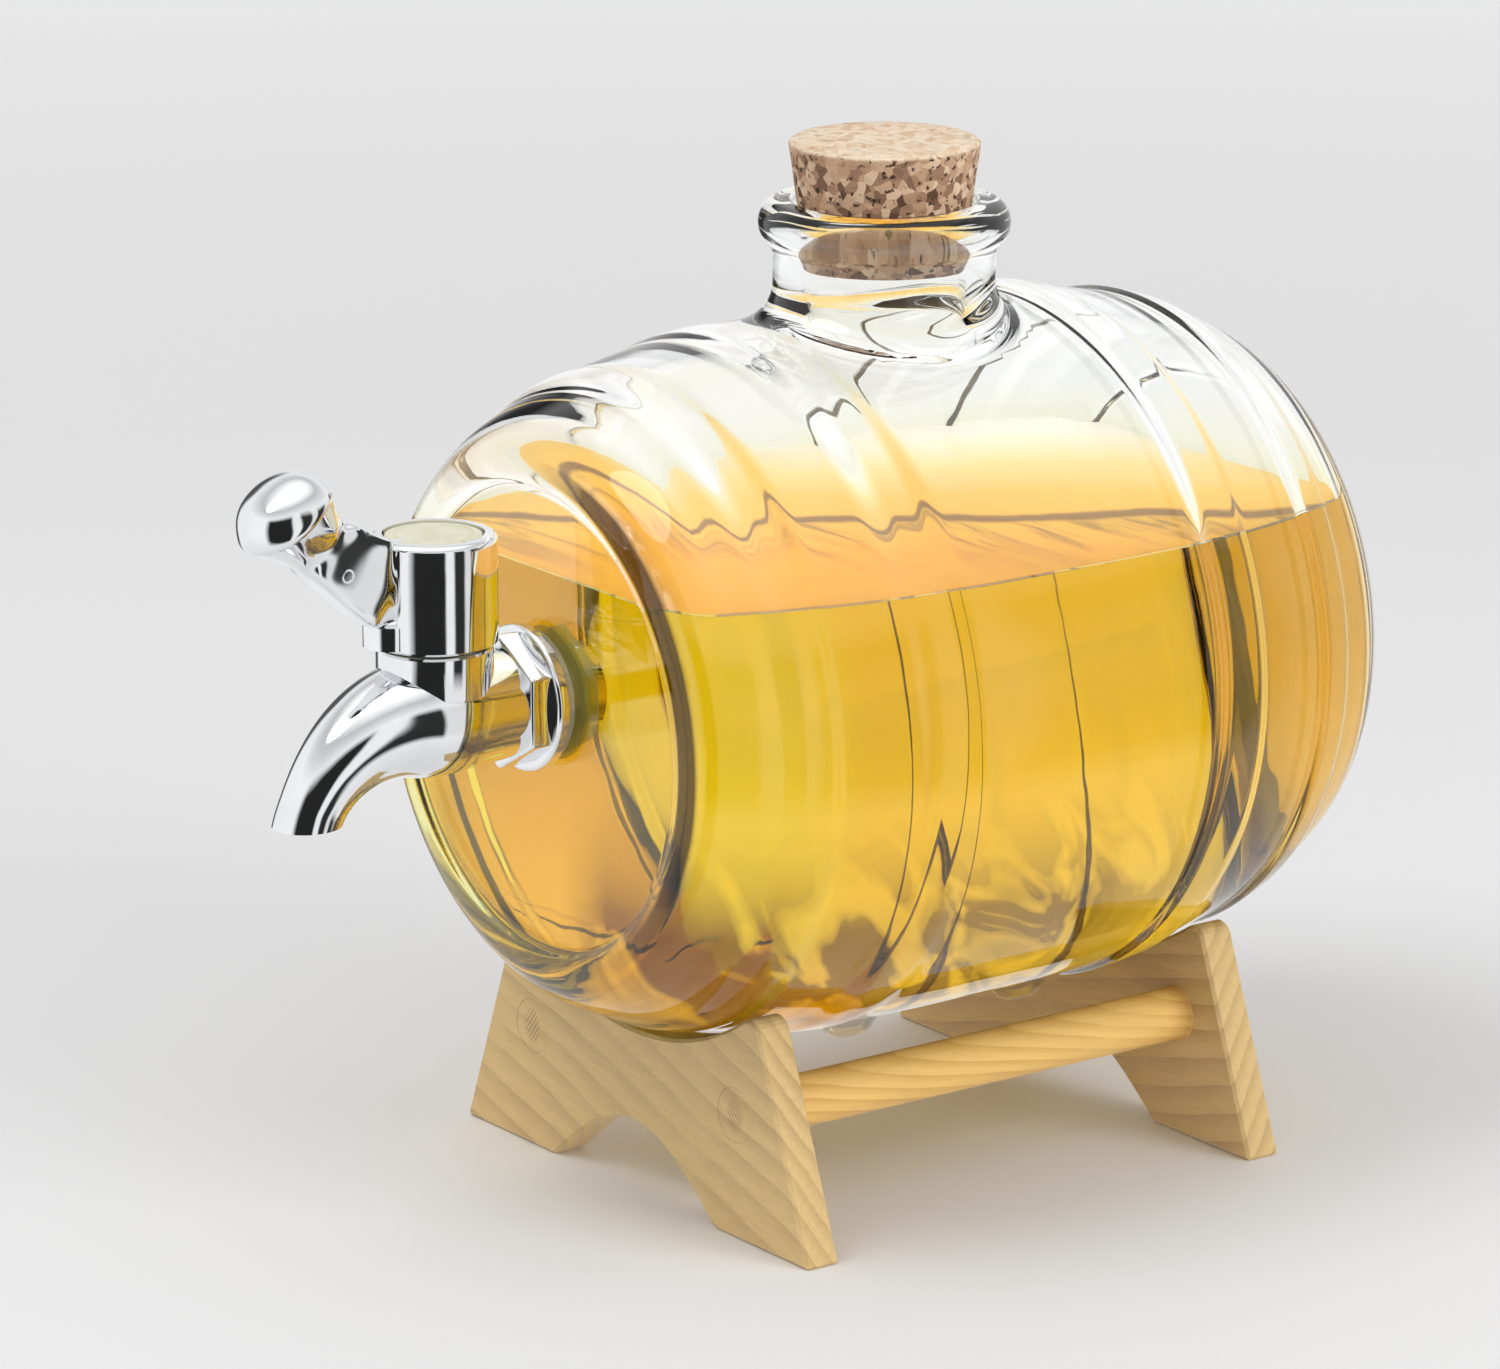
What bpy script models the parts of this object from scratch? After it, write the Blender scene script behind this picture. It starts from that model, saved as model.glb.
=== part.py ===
"""Glass barrel drink dispenser: a moulded glass barrel with a lever tap and a cork, on a pine cradle.

Lengths are in metres and +Z is up. The barrel lies along Y with its tap towards -Y, the feet stand
on Z = 0, and the origin is on the floor under the middle of the whole object's length.
"""
import math

import bmesh
import bpy
from mathutils import Matrix, Vector

# Clearances
FIT_GAP = 0.0003            # between two pieces that touch
CUT_OVERRUN = 0.004         # how far a cutter runs past the material it cuts

# Glass barrel
BARREL_LENGTH = 0.134
BARREL_RADIUS = 0.056
GLASS_WALL = 0.0035
HEAD_RADIUS = 0.0385        # edge of the flat round head
HEAD_RECESS = 0.0008
HEAD_RIM_WIDTH = 0.0016
SHOULDER_LENGTH = 0.010
STAVE_DROP = 0.0074         # fall of the radius from the middle to the shoulder
STAVE_POWER = 3
HOOP_HEIGHT = 0.0010
HOOP_SLOPE = 0.0014
INNER_HOOP_INSET = 0.0385   # from the barrel's end to the hoop's middle
INNER_HOOP_WIDTH = 0.0088
OUTER_HOOP_INSET = 0.0165
OUTER_HOOP_WIDTH = 0.0064
NECK_RADIUS = 0.0175
NECK_RISE = 0.0175          # lip above the barrel's crest
NECK_FLARE = 0.0022
NECK_ROOT_DEPTH = 0.020     # how far the neck's column reaches into the barrel
LIP_DEPTH = 0.0033          # half width of the rolled lip
LIP_HALF_HEIGHT = 0.0037
LIP_CENTRE_RADIUS = 0.0164
TAP_HOLE_RADIUS = 0.0078
NUB_RADIUS = 0.0045
NUB_HEIGHT = 0.0030
NUB_SPREAD = 0.028          # between the two rows of moulded nubs
NUB_PITCH = 0.034           # between the nubs of one row

# Cork stopper
CORK_TOP_RADIUS = 0.0150
CORK_BOTTOM_RADIUS = 0.0125
CORK_LENGTH = 0.0190
CORK_PROUD = 0.0092         # how far the cork stands out of the lip
CORK_EDGE = 0.0005

# Cradle stand
GROUND_CLEARANCE = 0.024    # barrel's belly above the floor
PLATE_THICKNESS = 0.0062
PLATE_INSET = 0.0233        # from the barrel's end to the plate's middle
STAND_SHIFT = 0.0020        # the stand's middle lies this far in front of the barrel's
FOOT_HALF_WIDTH = 0.0465
PLATE_TOP_HALF_WIDTH = 0.0318
PLATE_TOP_HEIGHT = 0.0395
PLATE_TIP_RADIUS = 0.0026
PLATE_EDGE = 0.0005
ARCH_HALF_WIDTH = 0.0219
ARCH_HEIGHT = 0.0117
DOWEL_RADIUS = 0.0042
DOWEL_SPACING = 0.055
DOWEL_DEPTH = 0.0112        # dowel's axis below the belly's curve over it
DOWEL_EDGE = 0.0005

# Tap: heights are above the tap's axis, reaches are in front of the valve's axis
TAP_RISE = 0.0040           # tap axis above the barrel's
TAP_REACH = 0.0180          # valve axis in front of the barrel's end
FLANGE_RADIUS = 0.0115
FLANGE_THICKNESS = 0.0022
FLANGE_EDGE = 0.0006
COLLAR_FLATS = 0.0186
COLLAR_LENGTH = 0.0036
TUBE_RADIUS = 0.0087
BELLY_RADIUS = 0.0098
VALVE_NECK_RADIUS = 0.0090
CAP_BOTTOM = 0.0115
SEAM = 0.0006
SPOUT_BEND_RADIUS = 0.0200
SPOUT_START = 0.0045
SPOUT_TURN = math.radians(64)
SPOUT_TIP_RADIUS = 0.0052
SPOUT_DROP = 0.0136         # spout mouth below the tap's axis
SPOUT_EVEN_SHARE = 0.35     # part of the spout's taper that is even along it
MOUTH_TRIM = 0.0160         # block that cuts the spout's mouth level
WATERWAY_RADIUS = 0.0041
SHANK_RADIUS = 0.0073
SHANK_LENGTH = 0.0175
WASHER_RADIUS = 0.0105
OUTER_WASHER_THICKNESS = 0.0010
INNER_WASHER_THICKNESS = 0.0015
NUT_FLATS = 0.0180
NUT_LENGTH = 0.0050

# Valve inside the tap
CHAMBER_RADIUS = 0.0062
CHAMBER_BOTTOM = 0.0062     # below the tap's axis
PLUG_CLEARANCE = 0.0005
PORT_RADIUS = 0.0031
RING_THICKNESS = 0.0011
RING_GROOVE_DEPTH = 0.0013
RING_LAND = 0.0007          # plug material above and below a ring's groove
THRUST_WASHER_THICKNESS = 0.0008
GLAND_SPIGOT = 0.0026
GLAND_FLATS = 0.0140
GLAND_HEIGHT = 0.0036
STEM_RADIUS = 0.0030
STEM_SQUARE = 0.0042
STEM_SQUARE_START = 0.0158
STEM_TOP = 0.0234
INLET_SHARE = 0.33          # of the chamber's radius, how far the inlet runs past the valve's axis

# Handle
CAP_RADIUS = 0.0098
CAP_HEIGHT = 0.0170
CAP_EDGE = 0.0012
CAP_WALL = 0.0014
CAP_TOP_WALL = 0.0038
CAP_HUB_RADIUS = 0.0048
CAP_HUB_BOTTOM = 0.0162
DISC_RADIUS = 0.0075
DISC_THICKNESS = 0.0012
DISC_SINK = 0.0002
SCREW_HEAD_RADIUS = 0.0026
SCREW_HEAD_HEIGHT = 0.0012
SCREW_RADIUS = 0.0011
SCREW_LENGTH = 0.0065
PILOT_DEPTH = 0.0058
LEVER_ROOT = 0.0050         # lever's first section, in front of the valve's axis
LEVER_ROOT_HEIGHT = 0.0203
LEVER_ROOT_HALF_HEIGHT = 0.0068
LEVER_ROOT_HALF_WIDTH = 0.0042
LEVER_WAIST_HALF_HEIGHT = 0.0032
LEVER_WAIST_HALF_WIDTH = 0.0030
LEVER_BEND = 0.0175         # where the lever's line turns up
LEVER_BEND_HEIGHT = 0.0208
KNOB_REACH = 0.0272
KNOB_HEIGHT = 0.0355
KNOB_HALF_LENGTH = 0.0066
KNOB_HALF_WIDTH = 0.0062
KNOB_HALF_HEIGHT = 0.0076
LUG_REACH = 0.0080
LUG_RADIUS = 0.0042
LUG_HEIGHT = 0.0052
LUG_CHAMFER = 0.0023
LEVER_ROUND_POWER = 0.7     # 1 gives an oval section and less a squarer one

# Facets
HEX_SIDES = 6
SQUARE_SIDES = 4
BARREL_STEPS = 36
ROUND_STEPS = 28
SMALL_STEPS = 20
STAVE_STATIONS = 8
SHOULDER_STATIONS = 5
LIP_STEPS = 8
FLARE_STEPS = 4
NUB_STEPS = 6
TIP_STEPS = 6
CRADLE_STEPS = 24
ARCH_STEPS = 16
SPOUT_STATIONS = 12
DOME_STEPS = 10
EDGE_STEPS = 3
RING_SIDES = 6
LEVER_STATIONS = 10
LEVER_SIDES = 16
SHARP_ANGLE = math.radians(32)
BEVEL_ANGLE = math.radians(40)
MERGE_SHARE = 0.001         # of the fit gap, within which doubled points merge

# Places that follow from the sizes
AXIS_HEIGHT = BARREL_RADIUS + GROUND_CLEARANCE
NECK_HEIGHT = BARREL_RADIUS + NECK_RISE
INNER_HOOP_OFFSET = BARREL_LENGTH / 2 - INNER_HOOP_INSET
OUTER_HOOP_OFFSET = BARREL_LENGTH / 2 - OUTER_HOOP_INSET
HOOPS = ((INNER_HOOP_OFFSET, INNER_HOOP_WIDTH), (OUTER_HOOP_OFFSET, OUTER_HOOP_WIDTH))
PLATE_SPACING = BARREL_LENGTH - 2 * PLATE_INSET
CRADLE_OVER_DOWEL = AXIS_HEIGHT - math.sqrt(BARREL_RADIUS ** 2 - (DOWEL_SPACING / 2) ** 2)
DOWEL_HEIGHT = CRADLE_OVER_DOWEL - DOWEL_DEPTH
FRONT_REACH = TAP_REACH + KNOB_REACH + KNOB_HALF_LENGTH
BARREL_Y = FRONT_REACH / 2
SHOULDER_Y = BARREL_LENGTH / 2 - SHOULDER_LENGTH
HEAD_Y = BARREL_Y - BARREL_LENGTH / 2 + HEAD_RECESS
TAP_Z = AXIS_HEIGHT + TAP_RISE
VALVE_Y = BARREL_Y - BARREL_LENGTH / 2 - TAP_REACH
FLANGE_BACK_Y = HEAD_Y - 2 * FIT_GAP - OUTER_WASHER_THICKNESS
INNER_HEAD_Y = HEAD_Y + GLASS_WALL
CAP_TOP = CAP_BOTTOM + CAP_HEIGHT
VALVE_NECK_TOP = CAP_BOTTOM - SEAM
SPIGOT_BOTTOM = VALVE_NECK_TOP + FIT_GAP - GLAND_SPIGOT
PLUG_SHOULDER = SPIGOT_BOTTOM - 2 * FIT_GAP - THRUST_WASHER_THICKNESS
PLUG_RADIUS = CHAMBER_RADIUS - PLUG_CLEARANCE
GROOVE_WIDTH = RING_THICKNESS + 2 * FIT_GAP
UPPER_GROOVE = PLUG_SHOULDER - RING_LAND - GROOVE_WIDTH / 2
PLUG_BOTTOM = -CHAMBER_BOTTOM + FIT_GAP
LOWER_GROOVE = PLUG_BOTTOM + RING_LAND + GROOVE_WIDTH / 2
CORK_TAPER = (CORK_TOP_RADIUS - CORK_BOTTOM_RADIUS) / CORK_LENGTH


def clear_scene():
    """Remove every object of the scene that the script starts in."""
    for item in list(bpy.data.objects):
        bpy.data.objects.remove(item, do_unlink=True)


def material(name, colour, roughness, metallic=0.0, transmission=0.0):
    """Return a Principled material, made once for each name."""
    found = bpy.data.materials.get(name)
    if found:
        return found
    made = bpy.data.materials.new(name)
    made.use_nodes = True
    shader = made.node_tree.nodes["Principled BSDF"]
    shader.inputs["Base Color"].default_value = (*colour, 1.0)
    shader.inputs["Roughness"].default_value = roughness
    shader.inputs["Metallic"].default_value = metallic
    shader.inputs["Transmission Weight"].default_value = transmission
    return made


def glass():
    return material("clear_glass", (0.94, 0.96, 0.95), 0.03, transmission=1.0)


def pine():
    return material("pine", (0.78, 0.66, 0.47), 0.6)


def dowel_wood():
    return material("dowel_wood", (0.82, 0.62, 0.33), 0.55)


def cork():
    return material("cork", (0.68, 0.50, 0.33), 0.85)


def chrome():
    return material("chrome_plate", (0.80, 0.81, 0.83), 0.08, metallic=1.0)


def ivory_plastic():
    return material("ivory_plastic", (0.90, 0.88, 0.74), 0.4)


def silicone():
    return material("silicone", (0.86, 0.85, 0.80), 0.5)


def black_rubber():
    return material("black_rubber", (0.03, 0.03, 0.03), 0.6)


def steel():
    return material("steel", (0.62, 0.62, 0.62), 0.3, metallic=1.0)


def add_object(name, mesh_builder, finish, parent=None):
    """Link a new object whose mesh is the closed bmesh given."""
    bmesh.ops.recalc_face_normals(mesh_builder, faces=mesh_builder.faces[:])
    mesh = bpy.data.meshes.new(name)
    mesh_builder.to_mesh(mesh)
    mesh_builder.free()
    item = bpy.data.objects.new(name, mesh)
    bpy.context.scene.collection.objects.link(item)
    item.parent = parent
    if finish:
        mesh.materials.append(finish)
        mesh.shade_smooth()
        mesh.set_sharp_from_angle(angle=SHARP_ANGLE)
    return item


def hide_cutter(item):
    """Keep a helper shape out of the finished part."""
    item.hide_render = True
    item.display_type = "WIRE"
    return item


def combine(item, tool, operation):
    """Join a helper shape to an object, or cut it away, with a live Boolean."""
    modifier = item.modifiers.new(f"{operation.lower()}_{tool.name}", "BOOLEAN")
    modifier.operation = operation
    modifier.solver = "EXACT"
    modifier.object = hide_cutter(tool)


def bevel_edges(item, width, segments=1):
    """Round an object's sharp edges with a live Bevel."""
    modifier = item.modifiers.new("edge_round", "BEVEL")
    modifier.width = width
    modifier.segments = segments
    modifier.limit_method = "ANGLE"
    modifier.angle_limit = BEVEL_ANGLE


def turned(profile, steps, half_step=False):
    """Revolve (radius, height) points about Z into a closed bmesh.

    Points that start and end on the axis close by themselves, and other profiles close into a ring.
    With half_step the facets lie square to X and Y, and otherwise the corners do.
    """
    builder = bmesh.new()
    points = [builder.verts.new((radius, 0.0, height)) for radius, height in profile]
    edges = [builder.edges.new(pair) for pair in zip(points, points[1:])]
    if max(profile[0][0], profile[-1][0]) > FIT_GAP:
        edges.append(builder.edges.new((points[-1], points[0])))
    bmesh.ops.spin(builder, geom=points + edges, axis=(0, 0, 1), cent=(0, 0, 0),
                   steps=steps, angle=math.tau, use_duplicate=False)
    bmesh.ops.remove_doubles(builder, verts=builder.verts[:], dist=FIT_GAP * MERGE_SHARE)
    if half_step:
        turn = Matrix.Rotation(math.pi / steps, 3, "Z")
        bmesh.ops.rotate(builder, verts=builder.verts[:], matrix=turn)
    return builder


def along_y(builder):
    """Turn a bmesh built about Z so that its height runs along -Y, out of the tap's side."""
    bmesh.ops.rotate(builder, verts=builder.verts[:], matrix=Matrix.Rotation(math.pi / 2, 3, "X"))
    return builder


def extruded(outline, depth):
    """Extrude a closed (x, z) outline by depth along +Y, from Y = 0."""
    builder = bmesh.new()
    points = [builder.verts.new((x, 0.0, z)) for x, z in outline]
    face = builder.faces.new(points)
    moved = bmesh.ops.extrude_face_region(builder, geom=[face])
    lifted = [part for part in moved["geom"] if isinstance(part, bmesh.types.BMVert)]
    bmesh.ops.translate(builder, verts=lifted, vec=(0, depth, 0))
    return builder


def lofted(rings):
    """Skin equal rings of points into a closed bmesh, with a flat cap at both ends."""
    builder = bmesh.new()
    loops = [[builder.verts.new(point) for point in ring] for ring in rings]
    count = len(rings[0])
    for lower, upper in zip(loops, loops[1:]):
        for index in range(count):
            after = (index + 1) % count
            builder.faces.new((lower[index], lower[after], upper[after], upper[index]))
    builder.faces.new(loops[0])
    builder.faces.new(loops[-1])
    return builder


def polygon_prism(flats, height, sides=HEX_SIDES):
    """Build a regular prism about Z from 0 to height, measured across its flats."""
    corner = flats / 2 / math.cos(math.pi / sides)
    builder = bmesh.new()
    bmesh.ops.create_cone(builder, cap_ends=True, segments=sides, radius1=corner, radius2=corner,
                          depth=height, matrix=Matrix.Translation((0, 0, height / 2)))
    return builder


def arc(centre, radii, start, end, count):
    """Return points on an elliptic arc of a (radius, height) profile, both ends included."""
    steps = [start + (end - start) * index / count for index in range(count + 1)]
    return [(centre[0] + radii[0] * math.cos(angle), centre[1] + radii[1] * math.sin(angle))
            for angle in steps]


def stave_radius(offset):
    """Return the plain barrel's outer radius at a distance from its middle."""
    return BARREL_RADIUS - STAVE_DROP * (abs(offset) / SHOULDER_Y) ** STAVE_POWER


def hoop_rise(offset):
    """Return how far the moulded hoops stand out at a distance from the barrel's middle."""
    rise = 0.0
    for place, width in HOOPS:
        inside = (width / 2 - abs(abs(offset) - place)) / HOOP_SLOPE
        rise = max(rise, HOOP_HEIGHT * min(max(inside, 0.0), 1.0))
    return rise


def barrel_stations(with_hoops):
    """Return the distances from the barrel's middle at which its side is sampled."""
    found = {SHOULDER_Y * index / STAVE_STATIONS for index in range(STAVE_STATIONS + 1)}
    if with_hoops:
        for place, width in HOOPS:
            found = {spot for spot in found if abs(spot - place) > width / 2 + HOOP_SLOPE / 2}
            for reach in (width / 2, width / 2 - HOOP_SLOPE):
                found |= {place - reach, place + reach}
    half = sorted(found)
    return [-spot for spot in reversed(half) if spot > 0] + half


def outer_barrel_profile():
    """Return the outside of the glass from its rear head to its front head."""
    half = BARREL_LENGTH / 2
    head = half - HEAD_RECESS
    shoulder = arc((HEAD_RADIUS, SHOULDER_Y), (stave_radius(SHOULDER_Y) - HEAD_RADIUS, SHOULDER_LENGTH),
                   math.pi / 2, 0.0, SHOULDER_STATIONS)
    front = [(0.0, head), (HEAD_RADIUS - HEAD_RIM_WIDTH, head)] + shoulder
    side = [(stave_radius(spot) + hoop_rise(spot), spot) for spot in reversed(barrel_stations(True))]
    rear = [(radius, -height) for radius, height in reversed(front)]
    return front + side[1:-1] + rear


def inner_barrel_profile():
    """Return the inside of the glass, one wall within the outside and without hoops."""
    head = BARREL_LENGTH / 2 - HEAD_RECESS - GLASS_WALL
    side_radius = stave_radius(SHOULDER_Y) - GLASS_WALL
    shoulder = arc((HEAD_RADIUS, SHOULDER_Y), (side_radius - HEAD_RADIUS, head - SHOULDER_Y),
                   math.pi / 2, 0.0, SHOULDER_STATIONS)
    front = [(0.0, head)] + shoulder
    side = [(stave_radius(spot) - GLASS_WALL, spot) for spot in reversed(barrel_stations(False))]
    rear = [(radius, -height) for radius, height in reversed(front)]
    return front + side[1:-1] + rear


def cork_radius(above_lip):
    """Return the cork's radius at a height above the lip, which its taper carries on past its ends."""
    return CORK_TOP_RADIUS - CORK_TAPER * (CORK_PROUD - above_lip)


def neck_profile():
    """Return the outside of the neck as a solid column, with its flare and its rolled lip."""
    lip_height = NECK_HEIGHT - LIP_HALF_HEIGHT
    foot = BARREL_RADIUS - NECK_ROOT_DEPTH
    root = [(0.0, foot), (NECK_RADIUS + NECK_FLARE, foot)]
    flare = arc((NECK_RADIUS + NECK_FLARE, BARREL_RADIUS + NECK_FLARE), (NECK_FLARE, NECK_FLARE),
                -math.pi / 2, -math.pi, FLARE_STEPS)
    meeting = math.acos((NECK_RADIUS - LIP_CENTRE_RADIUS) / LIP_DEPTH)
    lip = arc((LIP_CENTRE_RADIUS, lip_height), (LIP_DEPTH, LIP_HALF_HEIGHT),
              -meeting, math.pi / 2, LIP_STEPS)
    return root + flare + lip + [(0.0, NECK_HEIGHT)]


def neck_bore_profile():
    """Return the inside of the neck: a seat that follows the cork's taper, and a straight throat."""
    seat_bottom = CORK_PROUD - CORK_LENGTH
    throat = cork_radius(seat_bottom) + FIT_GAP
    return [(0.0, BARREL_RADIUS - NECK_ROOT_DEPTH - CUT_OVERRUN),
            (throat, BARREL_RADIUS - NECK_ROOT_DEPTH - CUT_OVERRUN),
            (throat, NECK_HEIGHT + seat_bottom),
            (cork_radius(CUT_OVERRUN) + FIT_GAP, NECK_HEIGHT + CUT_OVERRUN),
            (0.0, NECK_HEIGHT + CUT_OVERRUN)]


def make_glass_barrel(parent):
    """Build the glass barrel: hooped body, neck, bottom nubs, hollow inside and tap hole."""
    form = along_y(turned(outer_barrel_profile(), BARREL_STEPS))
    barrel = add_object("glass_barrel", form, glass(), parent)
    neck = add_object("neck_form", turned(neck_profile(), ROUND_STEPS, True), None, parent)
    combine(barrel, neck, "UNION")
    for row in (-1, 1):
        for side in (-1, 1):
            across = side * NUB_SPREAD / 2
            floor = -math.sqrt(stave_radius(NUB_PITCH / 2) ** 2 - across ** 2)
            section = arc((0.0, 0.0), (NUB_RADIUS, NUB_HEIGHT), math.pi / 2, -math.pi / 2, NUB_STEPS)
            ball = turned(section, SMALL_STEPS // 2, True)
            nub = add_object(f"nub_form_{row + 1}_{side + 1}", ball, None, parent)
            nub.location = (across, row * NUB_PITCH / 2, floor)
            combine(barrel, nub, "UNION")
    inside = along_y(turned(inner_barrel_profile(), BARREL_STEPS))
    hollow = add_object("hollow_form", inside, None, parent)
    combine(barrel, hollow, "DIFFERENCE")
    bore = add_object("neck_bore_form", turned(neck_bore_profile(), ROUND_STEPS, True), None, parent)
    combine(barrel, bore, "DIFFERENCE")
    length = GLASS_WALL + HEAD_RECESS + 2 * CUT_OVERRUN
    profile = [(0.0, 0.0), (TAP_HOLE_RADIUS, 0.0), (TAP_HOLE_RADIUS, length), (0.0, length)]
    hole = add_object("tap_hole_form", along_y(turned(profile, ROUND_STEPS)), None, parent)
    hole.location = (0, HEAD_Y - BARREL_Y + GLASS_WALL + CUT_OVERRUN, TAP_RISE)
    combine(barrel, hole, "DIFFERENCE")
    return barrel


def make_cork(parent):
    """Build the tapered cork stopper, its edges slightly broken."""
    bottom = CORK_PROUD - CORK_LENGTH
    profile = [(0.0, CORK_PROUD), (CORK_TOP_RADIUS - CORK_EDGE, CORK_PROUD),
               (cork_radius(CORK_PROUD - CORK_EDGE), CORK_PROUD - CORK_EDGE),
               (cork_radius(bottom + CORK_EDGE), bottom + CORK_EDGE),
               (CORK_BOTTOM_RADIUS - CORK_EDGE, bottom), (0.0, bottom)]
    return add_object("cork_stopper", turned(profile, ROUND_STEPS, True), cork(), parent)


def cradle_radius(inner_face):
    """Return the radius of a plate's cradle, which touches the glass at the plate's inner face."""
    return stave_radius(inner_face) + FIT_GAP


def plate_outline(radius):
    """Return one trestle plate's outline: flat feet, leaning sides, round tips, cradle and arch."""
    lean = Vector((PLATE_TOP_HALF_WIDTH - FOOT_HALF_WIDTH, PLATE_TOP_HEIGHT)).normalized()
    inward = Vector((-lean.y, lean.x))
    start = Vector((FOOT_HALF_WIDTH, 0.0)) + inward * PLATE_TIP_RADIUS - Vector((0.0, AXIS_HEIGHT))
    reach = radius + PLATE_TIP_RADIUS
    along = -start.dot(lean) - math.sqrt(start.dot(lean) ** 2 - start.length_squared + reach ** 2)
    tip = start + lean * along
    outer_angle = math.atan2(-inward.y, -inward.x)
    inner_angle = math.atan2(-tip.y, -tip.x)
    centre = (tip.x, AXIS_HEIGHT + tip.y)
    right_tip = arc(centre, (PLATE_TIP_RADIUS, PLATE_TIP_RADIUS), outer_angle, inner_angle, TIP_STEPS)
    half = math.atan2(tip.x, -tip.y)
    cradle = [(radius * math.sin(half * share), AXIS_HEIGHT - radius * math.cos(half * share))
              for share in (1 - 2 * step / CRADLE_STEPS for step in range(1, CRADLE_STEPS))]
    left_tip = [(-x, z) for x, z in reversed(right_tip)]
    arch = [(ARCH_HALF_WIDTH * share, ARCH_HEIGHT * math.cos(share * math.pi / 2))
            for share in (2 * step / ARCH_STEPS - 1 for step in range(ARCH_STEPS + 1))]
    return [(FOOT_HALF_WIDTH, 0.0)] + right_tip + cradle + left_tip + [(-FOOT_HALF_WIDTH, 0.0)] + arch


def make_stand():
    """Build the two trestle plates and the two dowels that run through them."""
    middle = BARREL_Y - STAND_SHIFT
    faces = {}
    for name, side in (("front_trestle", -1), ("rear_trestle", 1)):
        centre = middle + side * PLATE_SPACING / 2
        inner = centre - side * PLATE_THICKNESS / 2
        outline = plate_outline(cradle_radius(inner - BARREL_Y))
        plate = add_object(name, extruded(outline, PLATE_THICKNESS), pine())
        plate.location = (0, centre - PLATE_THICKNESS / 2, 0)
        bevel_edges(plate, PLATE_EDGE)
        faces[name] = plate
    length = PLATE_SPACING + PLATE_THICKNESS
    for name, side in (("left_dowel", -1), ("right_dowel", 1)):
        place = (side * DOWEL_SPACING / 2, middle + length / 2, DOWEL_HEIGHT)
        rod = [(0.0, 0.0), (DOWEL_RADIUS - DOWEL_EDGE, 0.0), (DOWEL_RADIUS, DOWEL_EDGE),
               (DOWEL_RADIUS, length - DOWEL_EDGE), (DOWEL_RADIUS - DOWEL_EDGE, length), (0.0, length)]
        add_object(name, along_y(turned(rod, SMALL_STEPS)), dowel_wood()).location = place
        for plate_name, plate in faces.items():
            hole_length = PLATE_THICKNESS + 2 * CUT_OVERRUN
            reach = DOWEL_RADIUS + FIT_GAP
            hole = [(0.0, 0.0), (reach, 0.0), (reach, hole_length), (0.0, hole_length)]
            cutter = add_object(f"{plate_name}_{name}_hole", along_y(turned(hole, SMALL_STEPS)), None)
            cutter.location = (place[0], plate.location.y + PLATE_THICKNESS + CUT_OVERRUN, DOWEL_HEIGHT)
            combine(plate, cutter, "DIFFERENCE")


def spout_point(travel):
    """Return the spout's centre line as (reach, height, heading) at an angle along its bend."""
    reach = SPOUT_START + SPOUT_BEND_RADIUS * math.sin(travel)
    return reach, -SPOUT_BEND_RADIUS * (1 - math.cos(travel)), travel


def spout_ring(travel, radius, count):
    """Return one round section of the spout, square to its centre line."""
    reach, height, heading = spout_point(travel)
    ring = []
    for index in range(count):
        turn = math.tau * (index + 0.5) / count
        up = radius * math.sin(turn)
        ring.append((radius * math.cos(turn), -reach - up * math.sin(heading),
                     height + up * math.cos(heading)))
    return ring


def spout_radius(travel):
    """Return the spout's outer radius, full at the body and narrow at the tip."""
    share = min(travel / SPOUT_TURN, 1.0)
    ease = share * share * (3 - 2 * share)
    taper = SPOUT_EVEN_SHARE * share + (1 - SPOUT_EVEN_SHARE) * ease
    return TUBE_RADIUS + (SPOUT_TIP_RADIUS - TUBE_RADIUS) * taper


def body_tube_profile():
    """Return the tap body's turned outside from the shank's inner end to a domed front, along -Y."""
    start = FLANGE_BACK_Y - VALVE_Y
    shank_end = start + SHANK_LENGTH
    front = start - FLANGE_THICKNESS
    belly = arc((0.0, 0.0), (BELLY_RADIUS, BELLY_RADIUS), math.acos(TUBE_RADIUS / BELLY_RADIUS),
                -math.pi / 2, DOME_STEPS)
    profile = [(0.0, -shank_end), (SHANK_RADIUS, -shank_end), (SHANK_RADIUS, -start),
               (FLANGE_RADIUS - FLANGE_EDGE, -start), (FLANGE_RADIUS, -start + FLANGE_EDGE),
               (FLANGE_RADIUS, -front - FLANGE_EDGE), (FLANGE_RADIUS - FLANGE_EDGE, -front),
               (TUBE_RADIUS, -front)]
    return profile, belly


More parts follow.
